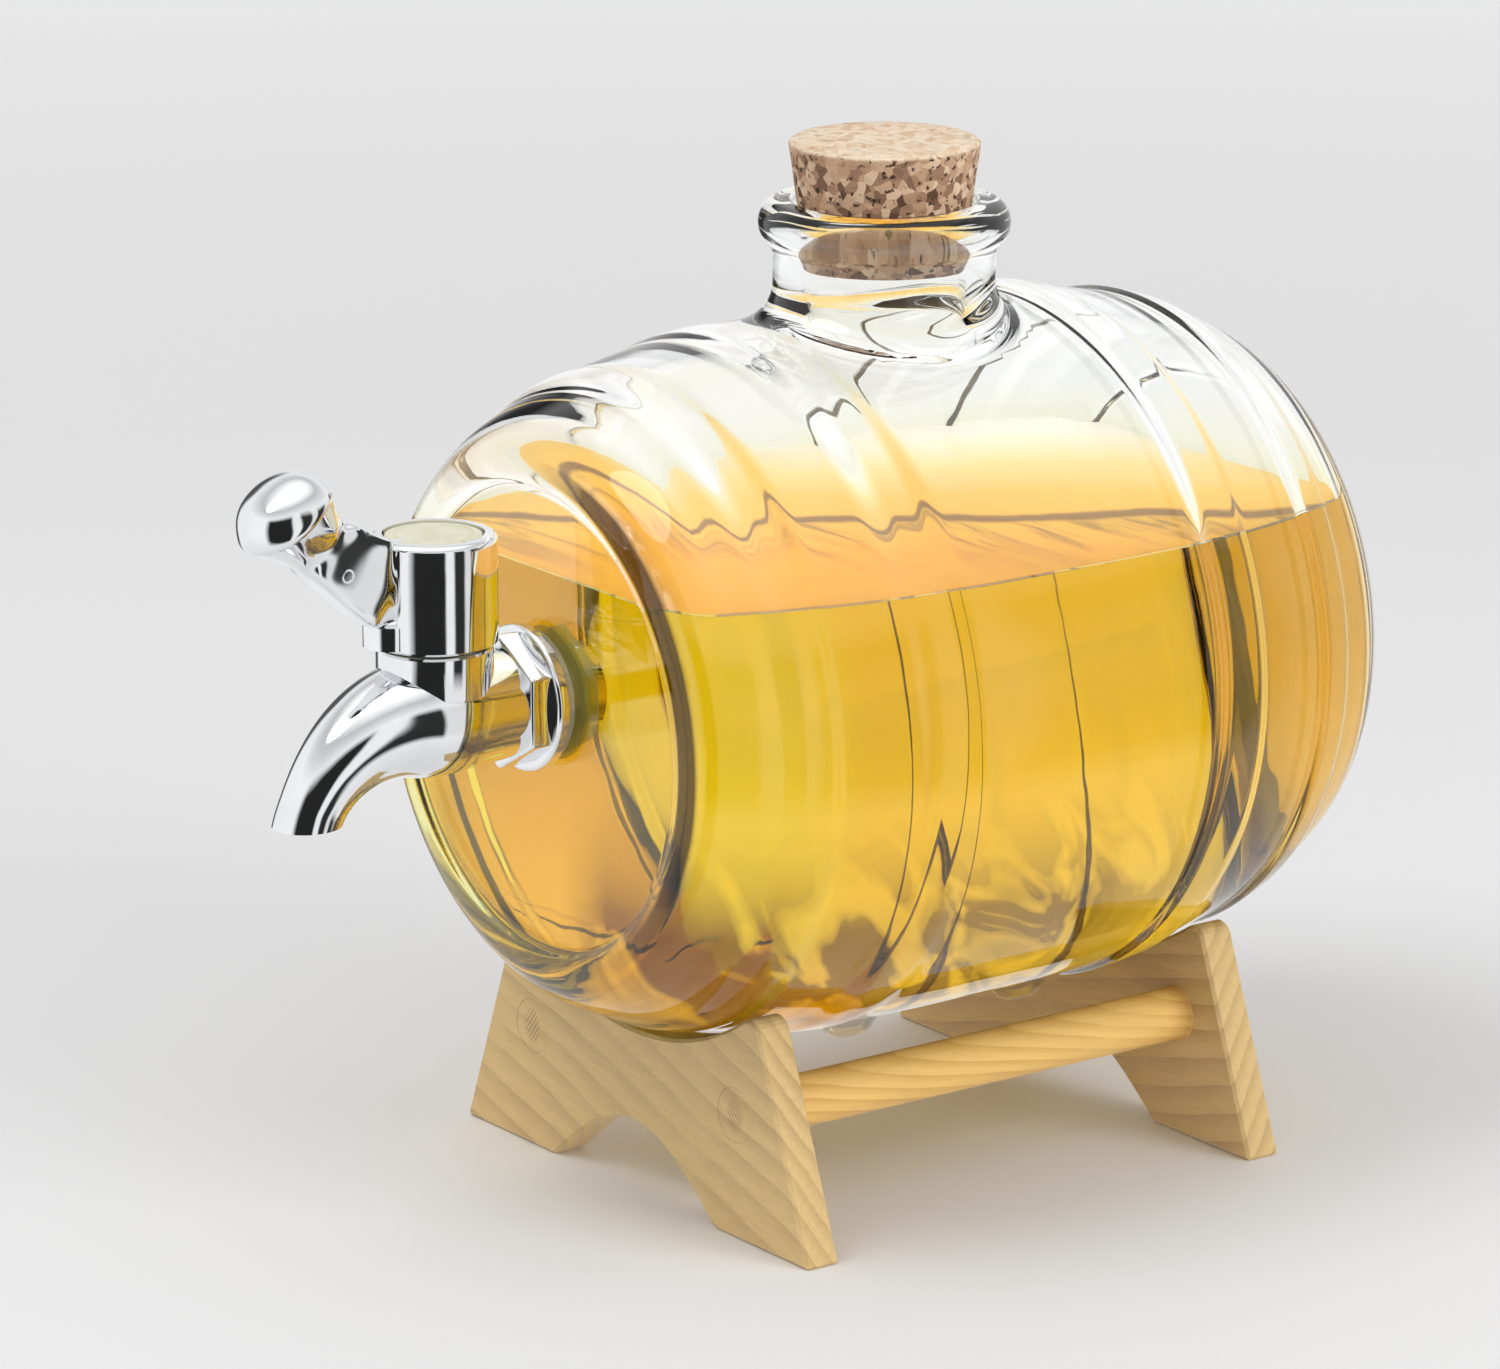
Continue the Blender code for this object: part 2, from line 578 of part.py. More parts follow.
def make_tap_body(parent):
    """Build the tap body: shank, flange, hexagonal collar, tube, valve neck, bent spout, waterways."""
    profile, belly = body_tube_profile()
    dome = [(radius, -height) for radius, height in belly]
    body = add_object("tap_body", along_y(turned(profile + dome, ROUND_STEPS)), chrome(), parent)
    collar_prism = along_y(polygon_prism(COLLAR_FLATS, COLLAR_LENGTH + FLANGE_THICKNESS / 2))
    collar = add_object("collar_form", collar_prism, None, parent)
    collar.location = (0, FLANGE_BACK_Y - VALVE_Y - FLANGE_THICKNESS / 2, 0)
    combine(body, collar, "UNION")
    neck_section = [(0.0, VALVE_NECK_TOP), (VALVE_NECK_RADIUS, VALVE_NECK_TOP),
                    (VALVE_NECK_RADIUS, 0.0), (0.0, 0.0)]
    neck = add_object("valve_neck_form", turned(neck_section, ROUND_STEPS), None, parent)
    combine(body, neck, "UNION")
    overrun = CUT_OVERRUN / SPOUT_BEND_RADIUS
    travels = [(SPOUT_TURN + overrun) * index / SPOUT_STATIONS for index in range(SPOUT_STATIONS + 1)]
    rings = [spout_ring(travel, spout_radius(travel), SMALL_STEPS) for travel in travels]
    spout = add_object("spout_form", lofted(rings), None, parent)
    mouth = bmesh.new()
    bmesh.ops.create_cube(mouth, size=MOUTH_TRIM)
    trimmer = add_object("mouth_trim_form", mouth, None, parent)
    trimmer.location = (0, -spout_point(SPOUT_TURN)[0], -SPOUT_DROP - MOUTH_TRIM / 2)
    combine(spout, trimmer, "DIFFERENCE")
    combine(body, spout, "UNION")
    chamber_top = VALVE_NECK_TOP + CUT_OVERRUN
    chamber_section = [(0.0, chamber_top), (CHAMBER_RADIUS, chamber_top),
                       (CHAMBER_RADIUS, -CHAMBER_BOTTOM), (0.0, -CHAMBER_BOTTOM)]
    chamber = add_object("chamber_form", turned(chamber_section, ROUND_STEPS), None, parent)
    combine(body, chamber, "DIFFERENCE")
    way_turn = SPOUT_TURN + 2 * overrun
    way_travels = [way_turn * index / SPOUT_STATIONS for index in range(SPOUT_STATIONS + 1)]
    way_rings = [spout_ring(travel, WATERWAY_RADIUS, ROUND_STEPS // 2) for travel in way_travels]
    way = add_object("spout_way_form", lofted(way_rings), None, parent)
    combine(body, way, "DIFFERENCE")
    inlet_length = FLANGE_BACK_Y - VALVE_Y + SHANK_LENGTH + CUT_OVERRUN
    inlet_end = CHAMBER_RADIUS * INLET_SHARE
    inlet_section = [(0.0, -inlet_length), (PORT_RADIUS, -inlet_length),
                     (PORT_RADIUS, inlet_end), (0.0, inlet_end)]
    inlet_form = along_y(turned(inlet_section, ROUND_STEPS // 2))
    inlet = add_object("inlet_form", inlet_form, None, parent)
    combine(body, inlet, "DIFFERENCE")
    return body


def washer_profile(inner, outer, thickness):
    """Return the square-cut section of a flat washer that lies on height 0."""
    return [(inner, 0.0), (outer, 0.0), (outer, thickness), (inner, thickness)]


def make_tap_fixings(parent):
    """Build the two sealing washers and the hexagonal nut that clamp the shank in the glass."""
    bore = SHANK_RADIUS + FIT_GAP
    outer_section = washer_profile(bore, WASHER_RADIUS, OUTER_WASHER_THICKNESS)
    outer = add_object("outer_washer", along_y(turned(outer_section, ROUND_STEPS)), silicone(), parent)
    outer.location = (0, HEAD_Y - FIT_GAP - VALVE_Y, 0)
    inner_back = INNER_HEAD_Y + FIT_GAP + INNER_WASHER_THICKNESS
    inner_section = washer_profile(bore, WASHER_RADIUS, INNER_WASHER_THICKNESS)
    inner = add_object("inner_washer", along_y(turned(inner_section, ROUND_STEPS)), silicone(), parent)
    inner.location = (0, inner_back - VALVE_Y, 0)
    nut_back = inner_back + FIT_GAP + NUT_LENGTH
    nut_form = along_y(polygon_prism(NUT_FLATS, NUT_LENGTH))
    nut = add_object("shank_nut", nut_form, ivory_plastic(), parent)
    nut.location = (0, nut_back - VALVE_Y, 0)
    length = NUT_LENGTH + 2 * CUT_OVERRUN
    hole_section = [(0.0, 0.0), (bore, 0.0), (bore, length), (0.0, length)]
    hole = add_object("nut_hole_form", along_y(turned(hole_section, ROUND_STEPS)), None, parent)
    hole.location = (0, nut_back + CUT_OVERRUN - VALVE_Y, 0)
    combine(nut, hole, "DIFFERENCE")


def make_gland(parent):
    """Build the gland that closes the valve chamber, and the thrust washer under it."""
    seat = VALVE_NECK_TOP + FIT_GAP
    bore = STEM_RADIUS + FIT_GAP
    spigot = washer_profile(bore, CHAMBER_RADIUS - FIT_GAP, GLAND_SPIGOT + GLAND_HEIGHT / 2)
    gland = add_object("gland_nut", turned(spigot, ROUND_STEPS), ivory_plastic(), parent)
    gland.location = (0, 0, SPIGOT_BOTTOM)
    head = add_object("gland_head_form", polygon_prism(GLAND_FLATS, GLAND_HEIGHT), None, parent)
    head.location = (0, 0, seat)
    combine(gland, head, "UNION")
    length = GLAND_HEIGHT + GLAND_SPIGOT + 2 * CUT_OVERRUN
    hole_section = [(0.0, length), (bore, length), (bore, 0.0), (0.0, 0.0)]
    hole = add_object("gland_bore_form", turned(hole_section, SMALL_STEPS), None, parent)
    hole.location = (0, 0, SPIGOT_BOTTOM - CUT_OVERRUN)
    combine(gland, hole, "DIFFERENCE")
    washer_section = washer_profile(bore, CHAMBER_RADIUS - FIT_GAP, THRUST_WASHER_THICKNESS)
    washer = add_object("thrust_washer", turned(washer_section, ROUND_STEPS), silicone(), parent)
    washer.location = (0, 0, SPIGOT_BOTTOM - FIT_GAP - THRUST_WASHER_THICKNESS)


def make_valve_plug(parent):
    """Build the turning plug: two ring grooves, a cross port, a stem with a square end and a pilot hole."""
    groove = PLUG_RADIUS - RING_GROOVE_DEPTH
    half = GROOVE_WIDTH / 2
    profile = [(0.0, STEM_SQUARE_START), (STEM_RADIUS, STEM_SQUARE_START), (STEM_RADIUS, PLUG_SHOULDER),
               (PLUG_RADIUS, PLUG_SHOULDER)]
    for middle in (UPPER_GROOVE, LOWER_GROOVE):
        profile += [(PLUG_RADIUS, middle + half), (groove, middle + half), (groove, middle - half),
                    (PLUG_RADIUS, middle - half)]
    profile += [(PLUG_RADIUS, PLUG_BOTTOM), (0.0, PLUG_BOTTOM)]
    plug = add_object("valve_plug", turned(profile, SMALL_STEPS), ivory_plastic(), parent)
    overlap = STEM_SQUARE / 2
    square_form = polygon_prism(STEM_SQUARE, STEM_TOP - STEM_SQUARE_START + overlap,
                                SQUARE_SIDES)
    square = add_object("stem_square_form", square_form, None, parent)
    square.rotation_euler = (0, 0, math.pi / 4)
    square.location = (0, 0, STEM_SQUARE_START - overlap)
    combine(plug, square, "UNION")
    port = bmesh.new()
    bmesh.ops.create_cone(port, cap_ends=True, segments=ROUND_STEPS // 2, radius1=PORT_RADIUS,
                          radius2=PORT_RADIUS, depth=2 * (PLUG_RADIUS + CUT_OVERRUN),
                          matrix=Matrix.Rotation(math.pi / 2, 4, "Y"))
    combine(plug, add_object("port_form", port, None, parent), "DIFFERENCE")
    pilot = SCREW_RADIUS + FIT_GAP
    top, floor = STEM_TOP + CUT_OVERRUN, STEM_TOP - PILOT_DEPTH
    pilot_section = [(0.0, top), (pilot, top), (pilot, floor), (0.0, floor)]
    hole = add_object("pilot_form", turned(pilot_section, SMALL_STEPS // 2), None, parent)
    combine(plug, hole, "DIFFERENCE")
    half_ring = RING_THICKNESS / 2
    for name, middle in (("upper_o_ring", UPPER_GROOVE), ("lower_o_ring", LOWER_GROOVE)):
        outside = CHAMBER_RADIUS - FIT_GAP
        section = arc((outside - half_ring, 0.0), (half_ring, half_ring),
                      math.pi, math.tau / RING_SIDES - math.pi, RING_SIDES - 1)
        ring = add_object(name, turned(section, SMALL_STEPS), black_rubber(), parent)
        ring.location = (0, 0, middle)


def lever_rings():
    """Return the lever's sections, from its broad root in the cap to its waist inside the knob."""
    root = Vector((LEVER_ROOT, LEVER_ROOT_HEIGHT))
    bend = Vector((LEVER_BEND, LEVER_BEND_HEIGHT))
    knob = Vector((KNOB_REACH, KNOB_HEIGHT))
    rings = []
    for index in range(LEVER_STATIONS + 1):
        share = index / LEVER_STATIONS
        centre = root * (1 - share) ** 2 + bend * 2 * share * (1 - share) + knob * share ** 2
        heading = ((bend - root) * (1 - share) + (knob - bend) * share).normalized()
        swell = (1 - share) ** 2
        tall = LEVER_WAIST_HALF_HEIGHT + (LEVER_ROOT_HALF_HEIGHT - LEVER_WAIST_HALF_HEIGHT) * swell
        wide = LEVER_WAIST_HALF_WIDTH + (LEVER_ROOT_HALF_WIDTH - LEVER_WAIST_HALF_WIDTH) * swell
        ring = []
        for step in range(LEVER_SIDES):
            turn = math.tau * (step + 0.5) / LEVER_SIDES
            up = tall * math.copysign(abs(math.sin(turn)) ** LEVER_ROUND_POWER, math.sin(turn))
            across = wide * math.copysign(abs(math.cos(turn)) ** LEVER_ROUND_POWER, math.cos(turn))
            ring.append((across, -centre.x + up * heading.y, centre.y + up * heading.x))
        rings.append(ring)
    return rings


def make_handle(parent):
    """Build the handle: hollow cap with its hub, lever with a round knob, and the lug under the lever."""
    shell = [(0.0, CAP_TOP), (CAP_RADIUS - CAP_EDGE, CAP_TOP)]
    shell += arc((CAP_RADIUS - CAP_EDGE, CAP_TOP - CAP_EDGE), (CAP_EDGE, CAP_EDGE),
                 math.pi / 2, 0.0, EDGE_STEPS)[1:]
    shell += [(CAP_RADIUS, CAP_BOTTOM), (0.0, CAP_BOTTOM)]
    handle = add_object("tap_handle", turned(shell, ROUND_STEPS), chrome(), parent)
    lever = add_object("lever_form", lofted(lever_rings()), None, parent)
    combine(handle, lever, "UNION")
    knob_section = arc((0.0, 0.0), (KNOB_HALF_WIDTH, KNOB_HALF_HEIGHT),
                       math.pi / 2, -math.pi / 2, DOME_STEPS)
    knob = add_object("knob_form", turned(knob_section, SMALL_STEPS), None, parent)
    knob.location = (0, -KNOB_REACH, KNOB_HEIGHT)
    for vertex in knob.data.vertices:
        vertex.co.y *= KNOB_HALF_LENGTH / KNOB_HALF_WIDTH
    combine(handle, knob, "UNION")
    lug = [(0.0, LUG_HEIGHT), (LUG_RADIUS - LUG_CHAMFER, LUG_HEIGHT),
           (LUG_RADIUS, LUG_HEIGHT - LUG_CHAMFER), (LUG_RADIUS, SEAM), (0.0, SEAM)]
    lug_form = add_object("lug_form", turned(lug, SMALL_STEPS), None, parent)
    lug_form.location = (0, -LUG_REACH, CAP_BOTTOM)
    combine(handle, lug_form, "UNION")
    roof = CAP_TOP - CAP_TOP_WALL
    below = CAP_BOTTOM - CUT_OVERRUN
    inside = CAP_RADIUS - CAP_WALL
    hollow = [(0.0, CAP_HUB_BOTTOM), (CAP_HUB_RADIUS, CAP_HUB_BOTTOM), (CAP_HUB_RADIUS, roof),
              (inside, roof), (inside, below), (0.0, below)]
    combine(handle, add_object("cap_hollow_form", turned(hollow, ROUND_STEPS), None, parent), "DIFFERENCE")
    recess = DISC_RADIUS + FIT_GAP
    floor = CAP_TOP - DISC_SINK - DISC_THICKNESS - FIT_GAP
    counterbore = SCREW_HEAD_RADIUS + FIT_GAP
    web = floor - SCREW_HEAD_HEIGHT - 2 * FIT_GAP
    clearance = SCREW_RADIUS + FIT_GAP
    top = CAP_TOP + CUT_OVERRUN
    steps = [(0.0, top), (recess, top), (recess, floor), (counterbore, floor), (counterbore, web),
             (clearance, web), (clearance, CAP_HUB_BOTTOM), (0.0, CAP_HUB_BOTTOM)]
    combine(handle, add_object("cap_bore_form", turned(steps, ROUND_STEPS), None, parent), "DIFFERENCE")
    socket_height = STEM_TOP + FIT_GAP - CAP_HUB_BOTTOM + CUT_OVERRUN
    socket_form = polygon_prism(STEM_SQUARE + 2 * FIT_GAP, socket_height, SQUARE_SIDES)
    socket = add_object("socket_form", socket_form, None, parent)
    socket.rotation_euler = (0, 0, math.pi / 4)
    socket.location = (0, 0, CAP_HUB_BOTTOM - CUT_OVERRUN)
    combine(handle, socket, "DIFFERENCE")
    disc_section = [(0.0, DISC_THICKNESS), (DISC_RADIUS, DISC_THICKNESS), (DISC_RADIUS, 0.0), (0.0, 0.0)]
    disc = add_object("cap_disc", turned(disc_section, ROUND_STEPS), ivory_plastic(), parent)
    disc.location = (0, 0, floor + FIT_GAP)
    seat = web + FIT_GAP
    head = seat + SCREW_HEAD_HEIGHT
    end = seat - SCREW_LENGTH
    screw = [(0.0, head), (SCREW_HEAD_RADIUS, head), (SCREW_HEAD_RADIUS, seat), (SCREW_RADIUS, seat),
             (SCREW_RADIUS, end), (0.0, end)]
    add_object("handle_screw", turned(screw, SMALL_STEPS // 2), steel(), parent)


def add_pivot(name, place):
    """Add an empty that stands on a joint's axis and carries the pieces that move about it."""
    pivot = bpy.data.objects.new(name, None)
    bpy.context.scene.collection.objects.link(pivot)
    pivot.location = place
    return pivot


def build():
    """Build the whole dispenser."""
    clear_scene()
    make_stand()
    barrel_axis = add_pivot("barrel_axis", (0, BARREL_Y, AXIS_HEIGHT))
    make_glass_barrel(barrel_axis)
    neck_lip = add_pivot("neck_lip", (0, BARREL_Y, AXIS_HEIGHT + NECK_HEIGHT))
    make_cork(neck_lip)
    valve_axis = add_pivot("valve_axis", (0, VALVE_Y, TAP_Z))
    make_tap_body(valve_axis)
    make_tap_fixings(valve_axis)
    make_gland(valve_axis)
    make_valve_plug(valve_axis)
    make_handle(valve_axis)


build()
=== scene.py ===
"""Dress the glass barrel drink dispenser: glass, drink, plated tap, cork and pine cradle.

Lengths are in metres, +Z is up, and the barrel lies along Y with its tap towards -Y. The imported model
is loaded first as a fixed frame, and every piece made here rides on one of its bodies.
"""
from __future__ import annotations

import logging
import math
from collections.abc import Callable, Sequence
from dataclasses import dataclass
from enum import Enum

import bpy
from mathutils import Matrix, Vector, noise


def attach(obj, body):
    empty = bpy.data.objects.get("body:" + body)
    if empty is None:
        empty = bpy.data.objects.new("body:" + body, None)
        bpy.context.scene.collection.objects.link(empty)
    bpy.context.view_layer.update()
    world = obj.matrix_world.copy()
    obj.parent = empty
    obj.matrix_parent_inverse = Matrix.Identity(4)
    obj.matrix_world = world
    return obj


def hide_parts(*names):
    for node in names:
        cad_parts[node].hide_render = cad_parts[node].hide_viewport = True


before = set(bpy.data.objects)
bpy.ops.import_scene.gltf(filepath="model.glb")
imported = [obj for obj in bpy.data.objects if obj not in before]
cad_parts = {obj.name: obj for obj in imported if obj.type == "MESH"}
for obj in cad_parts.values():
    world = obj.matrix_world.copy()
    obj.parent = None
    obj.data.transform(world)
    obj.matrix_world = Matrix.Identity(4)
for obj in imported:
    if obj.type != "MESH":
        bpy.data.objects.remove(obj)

LOG = logging.getLogger("dispenser")
IMAGE_WIDTH, IMAGE_HEIGHT = 1500, 1369
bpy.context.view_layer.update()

Profile = list[tuple[float, float]]
Colour = tuple[float, float, float]


class Body(Enum):
    """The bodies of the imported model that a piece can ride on."""

    STAND = "stand"
    BARREL = "barrel"
    HANDLE = "handle"
    CORK = "cork"


class Facing(Enum):
    """The way that a turned piece's height runs, as a rotation of an upright one."""

    UP = (0.0, 0.0, 0.0)
    FRONT = (math.pi / 2, 0.0, 0.0)
    RIGHT = (0.0, math.pi / 2, 0.0)


class Join(Enum):
    """The Boolean that joins a tool to a piece."""

    ADD = "UNION"
    CUT = "DIFFERENCE"


# Places that several sub-assemblies share
AXIS_Z = 0.080
BARREL_Y = 0.0259
TAP_Z = 0.084
VALVE_Y = -0.0591
LIP_Z = 0.1535
LEVEL_Z = 0.1032
BARREL_REACH = 0.0562
NUB_ACROSS, NUB_ALONG = 0.014, 0.017


class Bench:
    """Adds primitives and shapes them with operators, as at a modelling bench."""

    @staticmethod
    def clear() -> None:
        """Leave edit mode and deselect everything."""
        if bpy.context.object and bpy.context.object.mode != "OBJECT":
            bpy.ops.object.mode_set(mode="OBJECT")
        bpy.ops.object.select_all(action="DESELECT")

    @staticmethod
    def pick(piece: bpy.types.Object) -> None:
        """Select one object alone and make it active.

        Args:
            piece: The object to select.
        """
        Bench.clear()
        piece.select_set(True)
        bpy.context.view_layer.objects.active = piece

    @staticmethod
    def named(name: str) -> bpy.types.Object:
        """Name the active object and its mesh, and return it.

        Args:
            name: Their new name.

        Returns:
            The active object.
        """
        piece = bpy.context.object
        piece.name = name
        piece.data.name = name
        return piece

    @staticmethod
    def settle(piece: bpy.types.Object) -> bpy.types.Object:
        """Put an object's place into its mesh, so that it sits at the origin.

        Args:
            piece: The object to settle.

        Returns:
            The same object.
        """
        Bench.pick(piece)
        bpy.ops.object.transform_apply(location=True, rotation=True, scale=True)
        return piece

    @staticmethod
    def place(piece: bpy.types.Object, spot: Sequence[float], facing: Facing = Facing.UP) -> bpy.types.Object:
        """Turn and move a piece, then put its place into its mesh.

        Args:
            piece: The object to place.
            spot: Where its own origin goes.
            facing: The way its height runs.

        Returns:
            The same object.
        """
        piece.rotation_euler = facing.value
        piece.location = spot
        return Bench.settle(piece)

    @staticmethod
    def outward(piece: bpy.types.Object) -> None:
        """Merge doubles and point every face of a piece outwards.

        Args:
            piece: The piece to clean.
        """
        Bench.pick(piece)
        bpy.ops.object.mode_set(mode="EDIT")
        bpy.ops.mesh.select_all(action="SELECT")
        bpy.ops.mesh.remove_doubles(threshold=1e-6)
        bpy.ops.mesh.normals_make_consistent(inside=False)
        bpy.ops.object.mode_set(mode="OBJECT")

    @staticmethod
    def turned(name: str, profile: Profile, steps: int) -> bpy.types.Object:
        """Turn a profile: a disc is extruded up from point to point and scaled at each.

        Args:
            name: The piece's name.
            profile: Points of radius and height, from one flat end to the other.
            steps: How many sides the piece gets.

        Returns:
            The closed piece, upright at the origin.
        """
        Bench.clear()
        radius, height = profile[0]
        bpy.ops.mesh.primitive_circle_add(vertices=steps, radius=radius, fill_type="NGON",
                                          location=(0.0, 0.0, height))
        piece = Bench.settle(Bench.named(name))
        bpy.ops.object.mode_set(mode="EDIT")
        bpy.ops.mesh.select_all(action="SELECT")
        for (radius, height), (next_radius, next_height) in zip(profile, profile[1:]):
            rise = (0.0, 0.0, next_height - height)
            bpy.ops.mesh.extrude_region_move(TRANSFORM_OT_translate={"value": rise})
            ratio = next_radius / radius
            bpy.ops.transform.resize(value=(ratio, ratio, 1.0), center_override=(0.0, 0.0, next_height))
        bpy.ops.object.mode_set(mode="OBJECT")
        Bench.outward(piece)
        return piece

    @staticmethod
    def copied(piece: bpy.types.Object, name: str) -> bpy.types.Object:
        """Copy a piece with a mesh of its own.

        Args:
            piece: The piece to copy.
            name: The copy's name.

        Returns:
            The copy.
        """
        copy = piece.copy()
        copy.data = piece.data.copy()
        copy.name = copy.data.name = name
        bpy.context.collection.objects.link(copy)
        return copy

    @staticmethod
    def levelled(piece: bpy.types.Object, height: float, way: float, merge: float) -> None:
        """Cut a piece level and close it there.

        Args:
            piece: The piece to cut.
            height: The height of the cut.
            way: 1 keeps what is below the cut, and -1 what is above it.
            merge: How near to the cut a point counts as on it.
        """
        Bench.pick(piece)
        bpy.ops.object.mode_set(mode="EDIT")
        bpy.ops.mesh.select_all(action="SELECT")
        bpy.ops.mesh.bisect(plane_co=(0.0, 0.0, height), plane_no=(0.0, 0.0, way), use_fill=True,
                            clear_outer=True, threshold=merge)
        bpy.ops.object.mode_set(mode="OBJECT")

    @staticmethod
    def prism(name: str, flats: float, length: float, edge: float) -> bpy.types.Object:
        """Make an upright hexagonal prism from height 0, with its edges rounded.

        Args:
            name: The piece's name.
            flats: The size across its flats.
            length: Its height.
            edge: The width of its rounded edges.

        Returns:
            The prism.
        """
        Bench.clear()
        corner = flats / 2 / math.cos(math.pi / 6)
        bpy.ops.mesh.primitive_cylinder_add(vertices=6, radius=corner, depth=length,
                                            location=(0.0, 0.0, length / 2))
        piece = Bench.settle(Bench.named(name))
        bpy.ops.object.mode_set(mode="EDIT")
        bpy.ops.mesh.select_all(action="SELECT")
        bpy.ops.mesh.bevel(offset=edge, segments=3, affect="EDGES")
        bpy.ops.object.mode_set(mode="OBJECT")
        return piece

    @staticmethod
    def swept(name: str, points: Sequence[Vector], radii: Sequence[float], sides: int) -> bpy.types.Object:
        """Sweep a round section along points, with its own radius at each.

        Args:
            name: The piece's name.
            points: The centre line.
            radii: The radius at each point.
            sides: Half the number of sides of the section, less two.

        Returns:
            The closed tube as a mesh.
        """
        Bench.clear()
        bpy.ops.curve.primitive_nurbs_path_add()
        path = bpy.context.object
        curve = path.data
        curve.splines.clear()
        spline = curve.splines.new("POLY")
        spline.points.add(len(points) - 1)
        widest = max(radii)
        for knot, point, radius in zip(spline.points, points, radii):
            knot.co = (*point, 1.0)
            knot.radius = radius / widest
        curve.bevel_depth = widest
        curve.bevel_resolution = sides
        curve.use_fill_caps = True
        bpy.ops.object.convert(target="MESH")
        piece = Bench.settle(Bench.named(name))
        Bench.outward(piece)
        return piece

    @staticmethod
    def apply(piece: bpy.types.Object, kind: str, **settings: object) -> None:
        """Add a modifier to a piece with these settings and apply it.

        Args:
            piece: The piece that it changes.
            kind: The type of modifier.
            settings: The modifier's own settings.
        """
        Bench.pick(piece)
        modifier = piece.modifiers.new(kind.lower(), kind)
        for key, value in settings.items():
            setattr(modifier, key, value)
        bpy.ops.object.modifier_apply(modifier=modifier.name)

    @staticmethod
    def combine(piece: bpy.types.Object, tool: bpy.types.Object, join: Join) -> None:
        """Join a tool to a piece, or cut it away, and remove the tool."""
        Bench.apply(piece, "BOOLEAN", operation=join.value, solver="EXACT", object=tool)
        bpy.data.objects.remove(tool, do_unlink=True)

    @staticmethod
    def moved(piece: bpy.types.Object, rule: Callable[[Vector], Vector]) -> None:
        """Move every point of a piece by a rule that gives its new place.

        Args:
            piece: The piece to reshape.
            rule: Gives the new place of a point.
        """
        for vertex in piece.data.vertices:
            vertex.co = rule(vertex.co)
        piece.data.update()

    @staticmethod
    def smooth(piece: bpy.types.Object, degrees: float = 35.0) -> None:
        """Shade a piece smooth, with edges sharper than an angle kept sharp."""
        Bench.pick(piece)
        bpy.ops.object.shade_smooth_by_angle(angle=math.radians(degrees))

    @staticmethod
    def finish(piece: bpy.types.Object, body: Body, finish: bpy.types.Material, slot: str | None,
               *nodes: str) -> bpy.types.Object:
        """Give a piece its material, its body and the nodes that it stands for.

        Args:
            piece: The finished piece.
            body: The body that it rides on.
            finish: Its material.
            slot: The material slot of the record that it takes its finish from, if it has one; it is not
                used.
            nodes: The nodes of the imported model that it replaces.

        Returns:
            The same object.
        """
        piece.data.materials.clear()
        piece.data.materials.append(finish)
        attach(piece, body.value)
        if nodes:
            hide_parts(*nodes)
        LOG.info("made %s on %s: %d faces", piece.name, body.value, len(piece.data.polygons))
        return piece


def blend_share(value: float, start: float, end: float) -> float:
    """Return how far a value is from start to end, eased at both, from 0 to 1."""
    share = min(max((value - start) / (end - start), 0.0), 1.0)
    return share * share * (3 - 2 * share)


def bow(start: Vector, middle: Vector, end: Vector, share: float) -> Vector:
    """Return the point at a share of the way along a curve drawn towards its middle point."""
    return start * (1 - share) ** 2 + middle * 2 * share * (1 - share) + end * share ** 2


def quarter(steps: int, first: int = 0) -> list[float]:
    """Return the angles of a quarter circle in steps, from the first one on."""
    return [math.pi / 2 * step / steps for step in range(first, steps + 1)]


def rounded(radius: float, top: float, edge: float, steps: int) -> Profile:
    """Return the rounded outer edge of a flat top, from the side upwards."""
    return [(radius - edge * (1 - math.cos(a)), top - edge + edge * math.sin(a)) for a in quarter(steps)]


def flared(radius: float, size: float, steps: int) -> Profile:
    """Return a hollow flare that narrows upwards to a radius."""
    return [(radius + size * (1 - math.sin(a)), size * (1 - math.cos(a))) for a in quarter(steps, 1)]


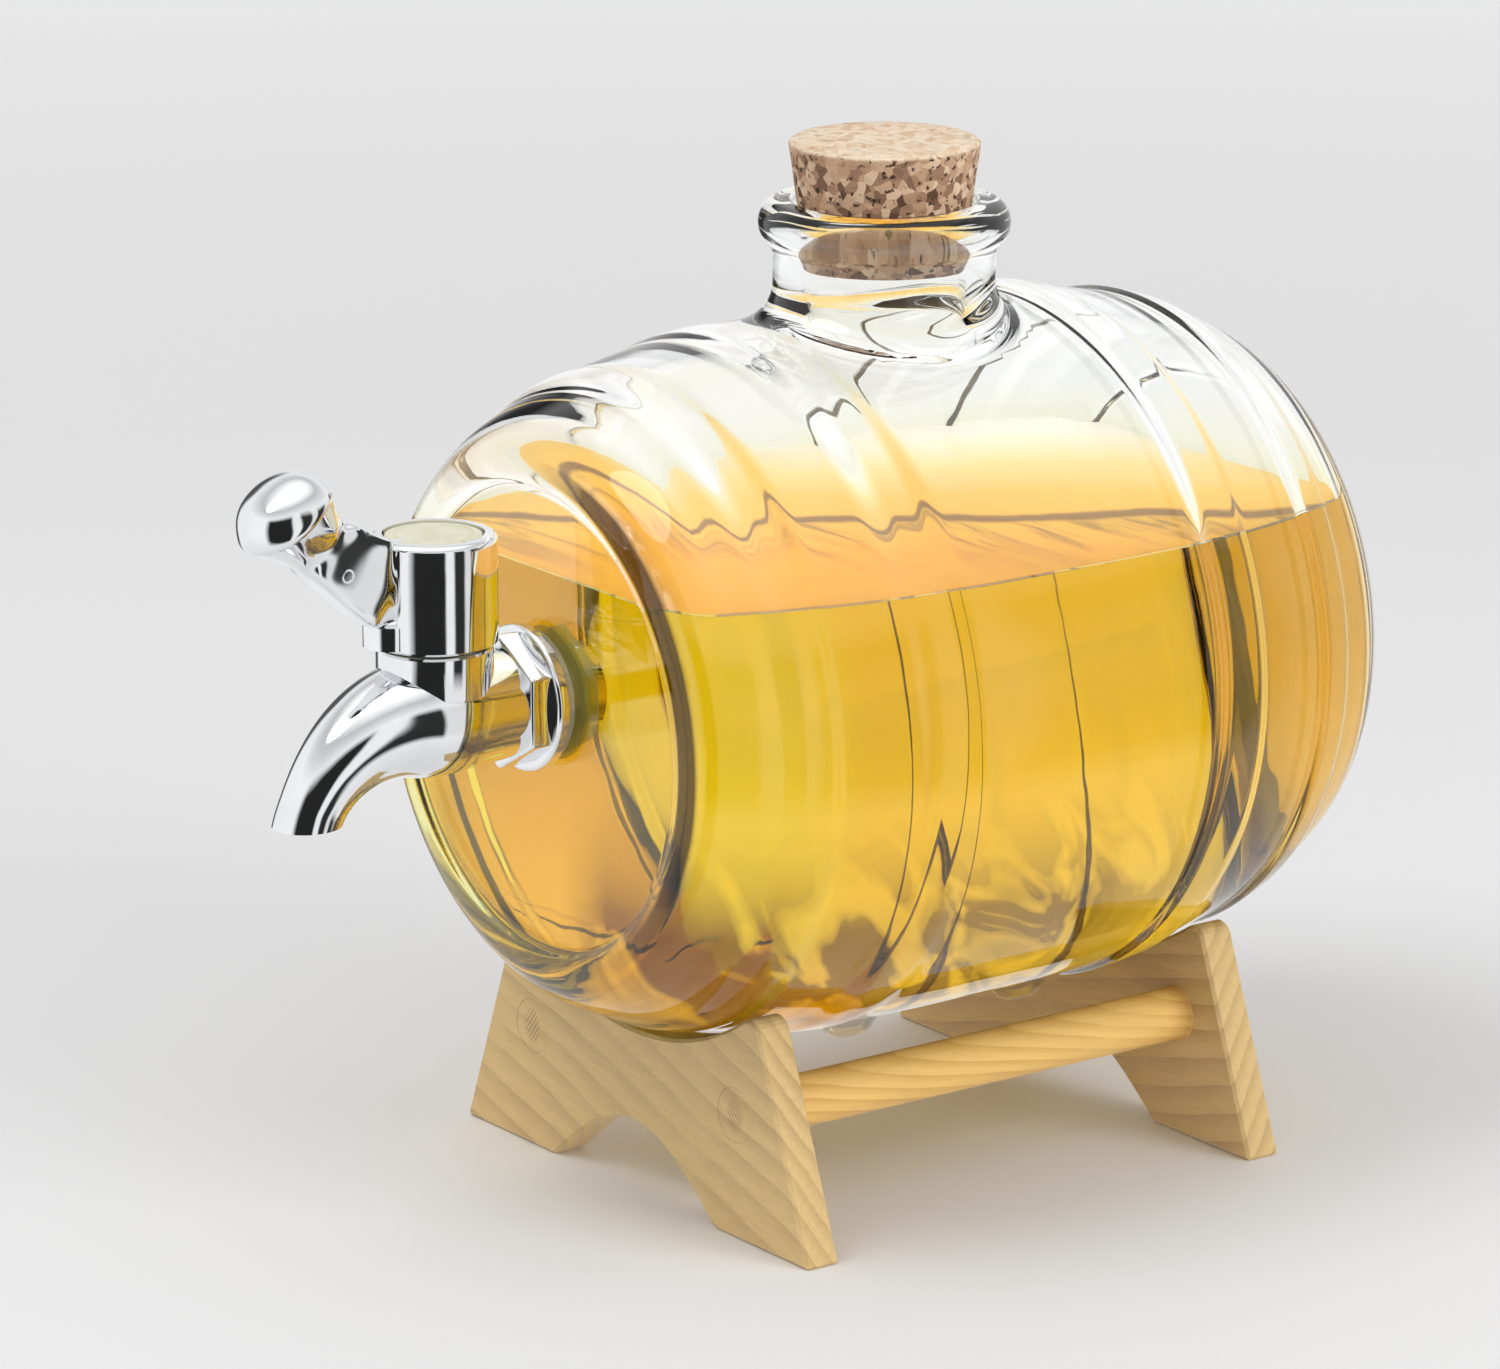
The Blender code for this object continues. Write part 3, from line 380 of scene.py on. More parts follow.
class Graph:
    """A material's or a group's node tree, with short ways to add and link nodes."""

    def __init__(self, tree: bpy.types.NodeTree) -> None:
        """Hold the tree."""
        self.tree = tree

    def add(self, kind: str, **settings: object) -> bpy.types.Node:
        """Add a node and set its properties.

        Args:
            kind: The node's type.
            settings: Its properties.

        Returns:
            The node.
        """
        node = self.tree.nodes.new(kind)
        for key, value in settings.items():
            setattr(node, key, value)
        return node

    def link(self, source: bpy.types.NodeSocket, target: bpy.types.NodeSocket) -> None:
        """Link an output to an input."""
        self.tree.links.new(source, target)

    def coordinates(self, scale: Sequence[float] = (1.0, 1.0, 1.0), turn: Sequence[float] = (0.0, 0.0, 0.0),
                    spot: Sequence[float] = (0.0, 0.0, 0.0)) -> bpy.types.NodeSocket:
        """Return Object coordinates after a Mapping node.

        Args:
            scale: The scale of each axis.
            turn: The turn about each axis, in radians.
            spot: The shift that is added last.

        Returns:
            The mapped vector.
        """
        place = self.add("ShaderNodeTexCoord")
        mapping = self.add("ShaderNodeMapping")
        mapping.inputs["Scale"].default_value = scale
        mapping.inputs["Rotation"].default_value = turn
        mapping.inputs["Location"].default_value = spot
        self.link(place.outputs["Object"], mapping.inputs["Vector"])
        return mapping.outputs["Vector"]

    def split(self, vector: bpy.types.NodeSocket) -> tuple[bpy.types.NodeSocket, ...]:
        """Return a vector's X, Y and Z.

        Args:
            vector: The vector to split.

        Returns:
            The three values.
        """
        axes = self.add("ShaderNodeSeparateXYZ")
        self.link(vector, axes.inputs[0])
        return tuple(axes.outputs)

    def length(self, across: bpy.types.NodeSocket, along: bpy.types.NodeSocket) -> bpy.types.NodeSocket:
        """Return how far a place is from the origin, from its distances along two axes.

        Args:
            across: The distance along one axis.
            along: The distance along the other.

        Returns:
            The distance.
        """
        squares = (self.maths("MULTIPLY", across, across), self.maths("MULTIPLY", along, along))
        return self.maths("POWER", self.maths("ADD", *squares), 0.5)

    def noise(self, vector: bpy.types.NodeSocket, scale: float, detail: float = 4.0, rough: float = 0.5,
              distortion: float = 0.0) -> bpy.types.NodeSocket:
        """Return the grey value of a noise texture.

        Args:
            vector: The coordinates that it is drawn in.
            scale: How fine it is.
            detail: How many finer layers it has.
            rough: How strong the finer layers are.
            distortion: How much it is warped.

        Returns:
            The noise, about 0.5 in the middle.
        """
        node = self.add("ShaderNodeTexNoise")
        node.inputs["Scale"].default_value = scale
        node.inputs["Detail"].default_value = detail
        node.inputs["Roughness"].default_value = rough
        node.inputs["Distortion"].default_value = distortion
        self.link(vector, node.inputs["Vector"])
        return node.outputs["Fac"]

    def ramp(self, value: bpy.types.NodeSocket,
             stops: Sequence[tuple[float, Colour]]) -> bpy.types.NodeSocket:
        """Return a colour read from a ramp of (position, colour) stops.

        Args:
            value: Where the ramp is read, from 0 to 1.
            stops: The positions in rising order, each with its colour.

        Returns:
            The colour.
        """
        node = self.add("ShaderNodeValToRGB")
        band = node.color_ramp
        while len(band.elements) < len(stops):
            band.elements.new(0.5)
        for element, (position, colour) in zip(band.elements, stops):
            element.position = position
            element.color = (*colour, 1.0)
        self.link(value, node.inputs["Fac"])
        return node.outputs["Color"]

    def greys(self, value: bpy.types.NodeSocket,
              stops: Sequence[tuple[float, float]]) -> bpy.types.NodeSocket:
        """Return a grey read from a ramp of (position, brightness) stops."""
        return self.ramp(value, [(position, (grey, grey, grey)) for position, grey in stops])

    def span(self, value: bpy.types.NodeSocket, low: float, high: float, start: float = 0.0,
             end: float = 1.0) -> bpy.types.NodeSocket:
        """Return a value mapped from low..high to start..end and held within them.

        Args:
            value: The value to map.
            low: The value that gives start.
            high: The value that gives end.
            start: The result at low.
            end: The result at high.

        Returns:
            The mapped value.
        """
        node = self.add("ShaderNodeMapRange")
        for key, number in (("From Min", low), ("From Max", high), ("To Min", start), ("To Max", end)):
            node.inputs[key].default_value = number
        self.link(value, node.inputs["Value"])
        return node.outputs["Result"]

    def mix(self, share: bpy.types.NodeSocket, first: bpy.types.NodeSocket | Colour,
            second: bpy.types.NodeSocket | Colour) -> bpy.types.NodeSocket:
        """Return two colours mixed by a share.

        Args:
            share: How much of the second colour there is.
            first: A colour, or a socket that gives one.
            second: The other colour or socket.

        Returns:
            The mixed colour.
        """
        node = self.add("ShaderNodeMix", data_type="RGBA")
        self.link(share, node.inputs[0])
        for value, socket in ((first, node.inputs[6]), (second, node.inputs[7])):
            if isinstance(value, tuple):
                socket.default_value = (*value, 1.0)
            else:
                self.link(value, socket)
        return node.outputs[2]

    def maths(self, how: str, first: bpy.types.NodeSocket, second: bpy.types.NodeSocket | float
              ) -> bpy.types.NodeSocket:
        """Return the result of a Math node.

        Args:
            how: The operation.
            first: Its first value.
            second: Its second value, as a number or a socket.

        Returns:
            The result.
        """
        node = self.add("ShaderNodeMath", operation=how)
        self.link(first, node.inputs[0])
        if isinstance(second, (int, float)):
            node.inputs[1].default_value = second
        else:
            self.link(second, node.inputs[1])
        return node.outputs[0]

    def bump(self, height: bpy.types.NodeSocket, strength: float, distance: float) -> bpy.types.NodeSocket:
        """Return a normal bent by a height.

        Args:
            height: The height that bends it.
            strength: How strongly it bends, from 0 to 1.
            distance: How high a height of 1 stands.

        Returns:
            The bent normal.
        """
        node = self.add("ShaderNodeBump")
        node.inputs["Strength"].default_value = strength
        node.inputs["Distance"].default_value = distance
        self.link(height, node.inputs["Height"])
        return node.outputs["Normal"]

    def use(self, group: bpy.types.NodeTree, **values: object) -> bpy.types.Node:
        """Add a shared effect and set its inputs, whose names have a space for each underscore.

        Args:
            group: The effect's node group.
            values: The values of its inputs.

        Returns:
            The group node.
        """
        node = self.add("ShaderNodeGroup", node_tree=group)
        for key, value in values.items():
            node.inputs[key.replace("_", " ")].default_value = value
        return node


class Effect:
    """A shader node group that several materials share, made once for each name."""

    kinds = {"value": "NodeSocketFloat", "vector": "NodeSocketVector", "colour": "NodeSocketColor"}

    def __init__(self, name: str, inputs: dict[str, str], outputs: dict[str, str],
                 draw: Callable[[Graph, bpy.types.Node, bpy.types.Node], None]) -> None:
        """Hold the group's name, its named sockets and the function that draws its nodes."""
        self.name, self.inputs, self.outputs, self.draw = name, inputs, outputs, draw

    def group(self) -> bpy.types.NodeTree:
        """Return the node group, made at its first use.

        Returns:
            The node group.
        """
        found = bpy.data.node_groups.get(self.name)
        if found:
            return found
        tree = bpy.data.node_groups.new(self.name, "ShaderNodeTree")
        for way, sockets in (("INPUT", self.inputs), ("OUTPUT", self.outputs)):
            for label, kind in sockets.items():
                tree.interface.new_socket(name=label, in_out=way, socket_type=self.kinds[kind])
        graph = Graph(tree)
        self.draw(graph, graph.add("NodeGroupInput"), graph.add("NodeGroupOutput"))
        return tree


def draw_mottle(graph: Graph, given: bpy.types.Node, made: bpy.types.Node) -> None:
    """Draw soft patches: a stretched noise cut to a mask between two levels.

    Args:
        graph: The group's node tree.
        given: The node with its inputs.
        made: The node with its outputs.
    """
    stretched = graph.add("ShaderNodeVectorMath", operation="MULTIPLY")
    graph.link(graph.coordinates(), stretched.inputs[0])
    graph.link(given.outputs["Stretch"], stretched.inputs[1])
    patches = graph.add("ShaderNodeTexNoise")
    graph.link(stretched.outputs[0], patches.inputs["Vector"])
    graph.link(given.outputs["Scale"], patches.inputs["Scale"])
    patches.inputs["Detail"].default_value = 4.0
    cut = graph.add("ShaderNodeMapRange")
    graph.link(patches.outputs["Fac"], cut.inputs["Value"])
    graph.link(given.outputs["Low"], cut.inputs["From Min"])
    graph.link(given.outputs["High"], cut.inputs["From Max"])
    graph.link(cut.outputs["Result"], made.inputs["Mask"])


def draw_relief(graph: Graph, given: bpy.types.Node, made: bpy.types.Node) -> None:
    """Draw a fine unevenness as a bent normal.

    Args:
        graph: The group's node tree.
        given: The node with its inputs.
        made: The node with its outputs.
    """
    grain = graph.add("ShaderNodeTexNoise")
    graph.link(graph.coordinates(), grain.inputs["Vector"])
    graph.link(given.outputs["Scale"], grain.inputs["Scale"])
    grain.inputs["Detail"].default_value = 2.0
    bent = graph.add("ShaderNodeBump")
    graph.link(grain.outputs["Fac"], bent.inputs["Height"])
    graph.link(given.outputs["Strength"], bent.inputs["Strength"])
    graph.link(given.outputs["Depth"], bent.inputs["Distance"])
    graph.link(bent.outputs["Normal"], made.inputs["Normal"])


def draw_grain(graph: Graph, given: bpy.types.Node, made: bpy.types.Node) -> None:
    """Draw sawn softwood: growth rings whose planes are tilted, fibres along them, and pale patches.

    Args:
        graph: The group's node tree.
        given: The node with its inputs.
        made: The node with its outputs.
    """
    turned = graph.add("ShaderNodeMapping")
    graph.link(graph.coordinates(), turned.inputs["Vector"])
    graph.link(given.outputs["Tilt"], turned.inputs["Rotation"])
    place = turned.outputs["Vector"]
    drawn = graph.add("ShaderNodeMapping")
    graph.link(place, drawn.inputs["Vector"])
    drawn.inputs["Scale"].default_value = (0.25, 0.6, 0.6)
    shift = graph.add("ShaderNodeVectorMath", operation="MULTIPLY_ADD")
    graph.link(graph.noise(drawn.outputs["Vector"], 60.0, 3.0), shift.inputs[0])
    shift.inputs[1].default_value = (0.0, 0.0, 0.0042)
    graph.link(place, shift.inputs[2])
    rings = graph.add("ShaderNodeTexWave", wave_type="BANDS", bands_direction="Z", wave_profile="SAW")
    graph.link(given.outputs["Ring Scale"], rings.inputs["Scale"])
    graph.link(shift.outputs[0], rings.inputs["Vector"])
    ring = graph.span(rings.outputs["Fac"], 0.35, 1.0)
    fine = graph.add("ShaderNodeMapping")
    graph.link(place, fine.inputs["Vector"])
    fine.inputs["Scale"].default_value = (0.05, 1.0, 1.0)
    fibre = graph.noise(fine.outputs["Vector"], 1500.0, 3.0, 0.6)
    patch = graph.span(graph.noise(place, 45.0, 3.0), 0.3, 0.7, 0.25, 1.0)
    share = graph.maths("MULTIPLY", graph.maths("MULTIPLY", ring, patch), 0.72)
    toned = graph.mix(share, given.outputs["Early"], given.outputs["Late"])
    graph.link(graph.mix(graph.span(fibre, 0.35, 0.75, 0.0, 0.20), toned, given.outputs["Late"]),
               made.inputs["Color"])
    graph.link(graph.span(ring, 0.0, 1.0, 0.62, 0.48), made.inputs["Gloss"])
    graph.link(fibre, made.inputs["Height"])


MOTTLE = Effect("soft_mottle", {"Scale": "value", "Stretch": "vector", "Low": "value", "High": "value"},
                {"Mask": "value"}, draw_mottle)
RELIEF = Effect("fine_relief", {"Scale": "value", "Strength": "value", "Depth": "value"},
                {"Normal": "vector"}, draw_relief)
GRAIN = Effect("wood_grain", {"Early": "colour", "Late": "colour", "Ring Scale": "value", "Tilt": "vector"},
               {"Color": "colour", "Gloss": "value", "Height": "value"}, draw_grain)
EVEN = (1.0, 1.0, 1.0)


class Finish:
    """A material with a Principled shader, whose details a subclass draws."""

    name = "finish"

    def paint(self, graph: Graph, shader: bpy.types.Node) -> None:
        """Add the finish's own nodes; a subclass does this."""

    def material(self) -> bpy.types.Material:
        """Return the material, made once.

        Returns:
            The material.
        """
        found = bpy.data.materials.get(self.name)
        if found:
            return found
        made = bpy.data.materials.new(self.name)
        made.use_nodes = True
        self.paint(Graph(made.node_tree), made.node_tree.nodes["Principled BSDF"])
        return made


@dataclass(frozen=True)
class ClearGlass(Finish):
    """Thick moulded glass, slightly uneven, washed with the drink's colour just above its level."""

    name: str = "clear_glass_look"
    colour: Colour = (0.985, 0.995, 0.99)
    wash: Colour = (1.0, 0.99, 0.74)
    wash_top: float = LEVEL_Z + 0.012
    wash_bottom: float = LEVEL_Z - 0.006
    wash_edge: float = 0.001
    wash_fade: float = 1.6
    rim_shade: Colour = (0.030, 0.022, 0.010)
    rim_radius: float = 0.0400
    rim_width: float = 0.0022
    rim_right: float = 0.022
    rim_ends: tuple[float, float] = (-0.038, -0.010)
    rim_back: float = BARREL_Y - 0.063
    nub_reach: float = 0.0058
    nub_fade: float = 0.001
    nub_top: float = AXIS_Z - BARREL_REACH + 0.004
    nub_cover: float = 0.30

    def paint(self, graph: Graph, shader: bpy.types.Node) -> None:
        """Draw the faint waviness of moulded glass, the wash of colour and the painted shade line along the
        rim.

        Args:
            graph: The material's node tree.
            shader: Its Principled shader.
        """
        shader.inputs["Roughness"].default_value = 0.0
        shader.inputs["IOR"].default_value = 1.5
        shader.inputs["Transmission Weight"].default_value = 1.0
        place = graph.split(graph.coordinates())
        above = graph.span(place[2], LEVEL_Z - self.wash_edge, self.wash_top)
        below = graph.span(place[2], self.wash_bottom, LEVEL_Z - self.wash_edge)
        soft = graph.maths("POWER", graph.maths("SUBTRACT", below, above), self.wash_fade)
        inside = graph.maths("LESS_THAN", graph.maths("ABSOLUTE", place[0], 0.0), BARREL_REACH)
        washed = graph.mix(graph.maths("MULTIPLY", soft, inside), self.colour, self.wash)
        # painted shade: a dark line along the right of the front head's rim stands for the dark band that
        # internal reflection makes at its edge
        graph.link(graph.mix(self.rim(graph, *place), washed, self.rim_shade), shader.inputs["Base Color"])
        graph.link(self.nubs(graph, *place), shader.inputs["Alpha"])
        relief = graph.use(RELIEF.group(), Scale=55.0, Strength=0.05, Depth=0.002)
        graph.link(relief.outputs["Normal"], shader.inputs["Normal"])

    def nubs(self, graph: Graph, x: bpy.types.NodeSocket, y: bpy.types.NodeSocket,
             z: bpy.types.NodeSocket) -> bpy.types.NodeSocket:
        """Return the glass's cover, which is lower over the nubs so that they let the light by.

        Args:
            graph: The material's node tree.
            x: The place across the barrel.
            y: The place along it.
            z: The height.

        Returns:
            A value that is 1 but at the four nubs.
        """
        across = graph.maths("SUBTRACT", graph.maths("ABSOLUTE", x, 0.0), NUB_ACROSS)
        along = graph.maths("ABSOLUTE", graph.maths("SUBTRACT", y, BARREL_Y), 0.0)
        away = graph.length(across, graph.maths("SUBTRACT", along, NUB_ALONG))
        near = graph.span(away, self.nub_reach, self.nub_reach - self.nub_fade)
        low = graph.maths("LESS_THAN", z, self.nub_top)
        return graph.span(graph.maths("MULTIPLY", near, low), 0.0, 1.0, 1.0, self.nub_cover)

    def rim(self, graph: Graph, x: bpy.types.NodeSocket, y: bpy.types.NodeSocket,
            z: bpy.types.NodeSocket) -> bpy.types.NodeSocket:
        """Return the mask of the painted shade: the dark line along the right of the front head's rim.

        Args:
            graph: The material's node tree.
            x: The place across the barrel.
            y: The place along it.
            z: The height.

        Returns:
            A value that is 1 in the middle of the line and tapers off along it.
        """
        up = graph.maths("SUBTRACT", z, AXIS_Z)
        off = graph.maths("ABSOLUTE", graph.maths("SUBTRACT", graph.length(x, up), self.rim_radius), 0.0)
        line = graph.span(off, self.rim_width, self.rim_width / 2)
        ends = graph.maths("MULTIPLY", graph.span(x, 0.0, self.rim_right), graph.span(up, *self.rim_ends))
        line = graph.span(graph.maths("SUBTRACT", graph.maths("ADD", line, ends), 1.0), 0.0, 0.6)
        return graph.maths("MULTIPLY", line, graph.maths("LESS_THAN", y, self.rim_back))


@dataclass(frozen=True)
class Drink(Finish):
    """A golden clear drink, deeper in colour where it is thick, with painted dark amber reflections along the
    bottom.
    """

    name: str = "golden_drink_look"
    absorbs: Colour = (0.985, 0.920, 0.12)
    density: float = 44.0
    plain: Colour = (1.0, 0.78, 0.36)
    front: Colour = (1.0, 1.0, 0.40)
    painted_reflection_amber: Colour = (0.13, 0.080, 0.014)
    flame_lean: float = 0.9
    flame_stretch: tuple[float, float, float] = (1.0, 0.35, 1.5)
    flame_low: tuple[float, float] = (AXIS_Z - 0.008, AXIS_Z - 0.027)
    flame_near: tuple[float, float] = (0.004, 0.016)
    flame_front: tuple[float, float] = (BARREL_Y + 0.044, BARREL_Y + 0.006)
    head: tuple[float, float] = (BARREL_Y - 0.040, BARREL_Y - 0.052)
    ridge: tuple[float, float] = (0.020, 0.006)

    def paint(self, graph: Graph, shader: bpy.types.Node) -> None:
        """Draw the amber flames of painted dark reflection along the bottom and the painted light at the
        front head, and give the volume its colour.

        Args:
            graph: The material's node tree.
            shader: Its Principled shader.
        """
        shader.inputs["Roughness"].default_value = 0.0
        shader.inputs["IOR"].default_value = 1.36
        shader.inputs["Transmission Weight"].default_value = 1.0
        x, y, z = graph.split(graph.coordinates())
        # painted dark reflections: amber streaks on the near lower side stand for the dark stand and
        # surroundings reflected in the drink
        near = graph.maths("MULTIPLY", graph.span(z, *self.flame_low), graph.span(x, *self.flame_near))
        near = graph.maths("MULTIPLY", near, graph.span(y, *self.flame_front))
        drawn = graph.add("ShaderNodeVectorMath", operation="MULTIPLY")
        drawn.inputs[1].default_value = self.flame_stretch
        graph.link(graph.coordinates(turn=(self.flame_lean, 0.0, 0.0)), drawn.inputs[0])
        painted_reflection_streak = graph.noise(drawn.outputs[0], 60.0, 2.0, 0.5, 1.4)
        flames = graph.span(painted_reflection_streak, 0.38, 0.52, 0.25, 1.0)
        ridge = graph.maths("ABSOLUTE", graph.maths("SUBTRACT", painted_reflection_streak, 0.50), 0.0)
        swirl = graph.maths("MAXIMUM", flames, graph.span(ridge, *self.ridge))
        # painted light: a paler, clearer yellow towards the front head stands for light shining through it
        body = graph.mix(graph.span(y, *self.head), self.plain, self.front)
        body = graph.mix(graph.maths("MULTIPLY", swirl, near), body, self.painted_reflection_amber)
        graph.link(body, shader.inputs["Base Color"])
        volume = graph.add("ShaderNodeVolumeAbsorption")
        volume.inputs["Color"].default_value = (*self.absorbs, 1.0)
        volume.inputs["Density"].default_value = self.density
        graph.link(volume.outputs[0], graph.tree.nodes["Material Output"].inputs["Volume"])


@dataclass(frozen=True)
class DrinkSurfacePaintedLight(Finish):
    """The drink's surface as the eye meets it, with painted light: orange near the front right, fading to
    white behind.
    """

    name: str = "drink_surface_painted_light_look"
    turn: float = math.radians(54.0)
    painted_light_tones: tuple[tuple[float, Colour], ...] = (
        (0.0, (1.0, 0.46, 0.03)), (0.34, (1.0, 0.45, 0.03)), (0.46, (1.0, 0.54, 0.05)),
        (0.60, (1.0, 0.60, 0.09)), (0.74, (1.0, 0.74, 0.28)), (0.88, (1.0, 0.92, 0.70)),
        (1.0, (1.0, 0.98, 0.94)))
    tone_reach: tuple[float, float] = (-0.060, 0.080)
    line_middle: float = 0.020
    line_behind: float = 0.008
    line_arch: float = 0.9
    line_edge: tuple[float, float] = (0.0032, 0.0012)
    line_sway: float = 0.003
    thread_stretch: tuple[float, float, float] = (0.16, 1.0, 1.0)
    thread_top: float = -0.003
    thread_fade: tuple[float, float] = (-0.040, -0.006)
    thread_share: float = 0.7
    dark_share: float = 0.85
    top: tuple[float, float] = (LEVEL_Z + 0.0003, LEVEL_Z + 0.00034)
    painted_reflection_streak: Colour = (0.22, 0.09, 0.015)
    cover: float = 0.96
    painted_light_glow: float = 0.34

    def paint(self, graph: Graph, shader: bpy.types.Node) -> None:
        """Draw the painted light: the fading colour, the arched dark line of a painted reflection and its
        streaks, and a painted glow, seen from above only.

        Args:
            graph: The material's node tree.
            shader: Its Principled shader.
        """
        place = graph.coordinates(turn=(0.0, 0.0, -self.turn))
        across, behind, height = graph.split(place)
        # painted light: the surface fades from orange near the front right to white behind, standing for the
        # light and reflections seen in it
        tone = graph.ramp(graph.span(behind, *self.tone_reach), self.painted_light_tones)
        # painted reflection: an arched dark line with streaks below it stands for the near waterline
        # reflected in the surface
        wave = graph.span(graph.noise(place, 28.0, 2.0), 0.3, 0.7, -self.line_sway, self.line_sway)
        middle = graph.maths("SUBTRACT", across, self.line_middle)
        arch = graph.maths("MULTIPLY", graph.maths("MULTIPLY", middle, middle), self.line_arch)
        arch = graph.maths("ADD", arch, self.line_behind)
        off = graph.maths("ADD", graph.maths("SUBTRACT", behind, arch), wave)
        line = graph.span(graph.maths("ABSOLUTE", off, 0.0), *self.line_edge)
        drawn = graph.coordinates(self.thread_stretch, (0.0, 0.0, -self.turn))
        threads = graph.span(graph.noise(drawn, 190.0, 3.0, 0.6, 0.8), 0.47, 0.62)
        below = graph.span(off, 0.0, self.thread_top)
        below = graph.maths("MULTIPLY", below, graph.span(off, *self.thread_fade))
        threads = graph.maths("MULTIPLY", threads, graph.maths("MULTIPLY", below, self.thread_share))
        share = graph.maths("MULTIPLY", graph.maths("MAXIMUM", line, threads), self.dark_share)
        shade = graph.mix(share, tone, self.painted_reflection_streak)
        graph.link(shade, shader.inputs["Base Color"])
        # painted glow: emission brightens the film, which is no lamp
        graph.link(shade, shader.inputs["Emission Color"])
        shader.inputs["Emission Strength"].default_value = self.painted_light_glow
        shader.inputs["Roughness"].default_value = 0.30
        shader.inputs["IOR"].default_value = 1.1
        side = graph.add("ShaderNodeNewGeometry")
        seen = graph.maths("SUBTRACT", graph.span(height, *self.top), side.outputs["Backfacing"])
        graph.link(graph.span(seen, 0.0, 1.0, 0.0, self.cover), shader.inputs["Alpha"])


@dataclass(frozen=True)
class Plated(Finish):
    """Bright chrome plating with faint smears."""

    name: str = "chrome_plate_look"
    colour: Colour = (0.88, 0.89, 0.91)

    def paint(self, graph: Graph, shader: bpy.types.Node) -> None:
        """Draw smears in the roughness and the slight wave of a plated casting.

        Args:
            graph: The material's node tree.
            shader: Its Principled shader.
        """
        shader.inputs["Metallic"].default_value = 1.0
        smear = graph.use(MOTTLE.group(), Scale=160.0, Stretch=EVEN, Low=0.35, High=0.75).outputs["Mask"]
        dulled = tuple(part * 0.93 for part in self.colour)
        graph.link(graph.mix(smear, self.colour, dulled), shader.inputs["Base Color"])
        graph.link(graph.span(smear, 0.0, 1.0, 0.03, 0.10), shader.inputs["Roughness"])
        relief = graph.use(RELIEF.group(), Scale=90.0, Strength=0.08, Depth=0.001)
        graph.link(relief.outputs["Normal"], shader.inputs["Normal"])


@dataclass(frozen=True)
class PressedCork(Finish):
    """Cork granules pressed together, with dark specks and a paler sanded top."""

    name: str = "pressed_cork_look"
    granule_scale: float = 620.0
    warp: float = 0.0014
    side_tones: tuple[tuple[float, Colour], ...] = (
        (0.0, (0.12, 0.06, 0.035)), (0.16, (0.32, 0.18, 0.11)), (0.45, (0.50, 0.31, 0.19)),
        (0.8, (0.64, 0.43, 0.28)), (1.0, (0.80, 0.60, 0.42)))
    top_tones: tuple[tuple[float, Colour], ...] = (
        (0.0, (0.74, 0.50, 0.32)), (0.3, (0.88, 0.68, 0.48)), (1.0, (0.95, 0.80, 0.62)))
    speck: Colour = (0.07, 0.035, 0.02)
    top: tuple[float, float] = (LIP_Z + 0.0087, LIP_Z + 0.0091)

    def paint(self, graph: Graph, shader: bpy.types.Node) -> None:
        """Draw granules, specks, pits and the pale top.

        Args:
            graph: The material's node tree.
            shader: Its Principled shader.
        """
        place = graph.coordinates()
        shift = graph.add("ShaderNodeVectorMath", operation="MULTIPLY_ADD")
        graph.link(place, shift.inputs[2])
        graph.link(graph.noise(place, 300.0, 3.0), shift.inputs[0])
        shift.inputs[1].default_value = (self.warp, self.warp, self.warp)
        grain = graph.add("ShaderNodeTexVoronoi", feature="F1")
        grain.inputs["Scale"].default_value = self.granule_scale
        graph.link(shift.outputs[0], grain.inputs["Vector"])
        tone = graph.add("ShaderNodeSeparateColor")
        graph.link(grain.outputs["Color"], tone.inputs[0])
        side = graph.ramp(tone.outputs[0], self.side_tones)
        pale = graph.ramp(tone.outputs[0], self.top_tones)
        top = graph.span(graph.split(place)[2], *self.top)
        specks = graph.use(MOTTLE.group(), Scale=900.0, Stretch=EVEN, Low=0.60, High=0.66).outputs["Mask"]
        dotted = graph.mix(specks, side, self.speck)
        graph.link(graph.mix(top, dotted, pale), shader.inputs["Base Color"])
        shader.inputs["Roughness"].default_value = 0.85
        pit = graph.maths("SUBTRACT", graph.noise(place, 700.0, 4.0, 0.6), specks)
        graph.link(graph.bump(pit, 0.6, 0.0008), shader.inputs["Normal"])


@dataclass(frozen=True)
class Pine(Finish):
    """Sanded softwood, with growth rings cut at a slant."""

    name: str = "pine_look"
    early: Colour = (0.78, 0.56, 0.25)
    late: Colour = (0.42, 0.24, 0.09)
    tilt: tuple[float, float, float] = (1.0, -0.16, 0.0)
    ring_scale: float = 120.0

    def paint(self, graph: Graph, shader: bpy.types.Node) -> None:
        """Draw the grain of a sawn plate.

        Args:
            graph: The material's node tree.
            shader: Its Principled shader.
        """
        grain = self.grain(graph)
        graph.link(grain.outputs["Color"], shader.inputs["Base Color"])
        self.rub(graph, grain, shader)

    def grain(self, graph: Graph) -> bpy.types.Node:
        """Return the grain effect with this wood's colours, ring scale and tilt."""
        return graph.use(GRAIN.group(), Early=(*self.early, 1.0), Late=(*self.late, 1.0),
                         Ring_Scale=self.ring_scale, Tilt=self.tilt)

    def rub(self, graph: Graph, grain: bpy.types.Node, shader: bpy.types.Node) -> None:
        """Link the sanded roughness and the raised fibres."""
        graph.link(grain.outputs["Gloss"], shader.inputs["Roughness"])
        graph.link(graph.bump(grain.outputs["Height"], 0.25, 0.0004), shader.inputs["Normal"])


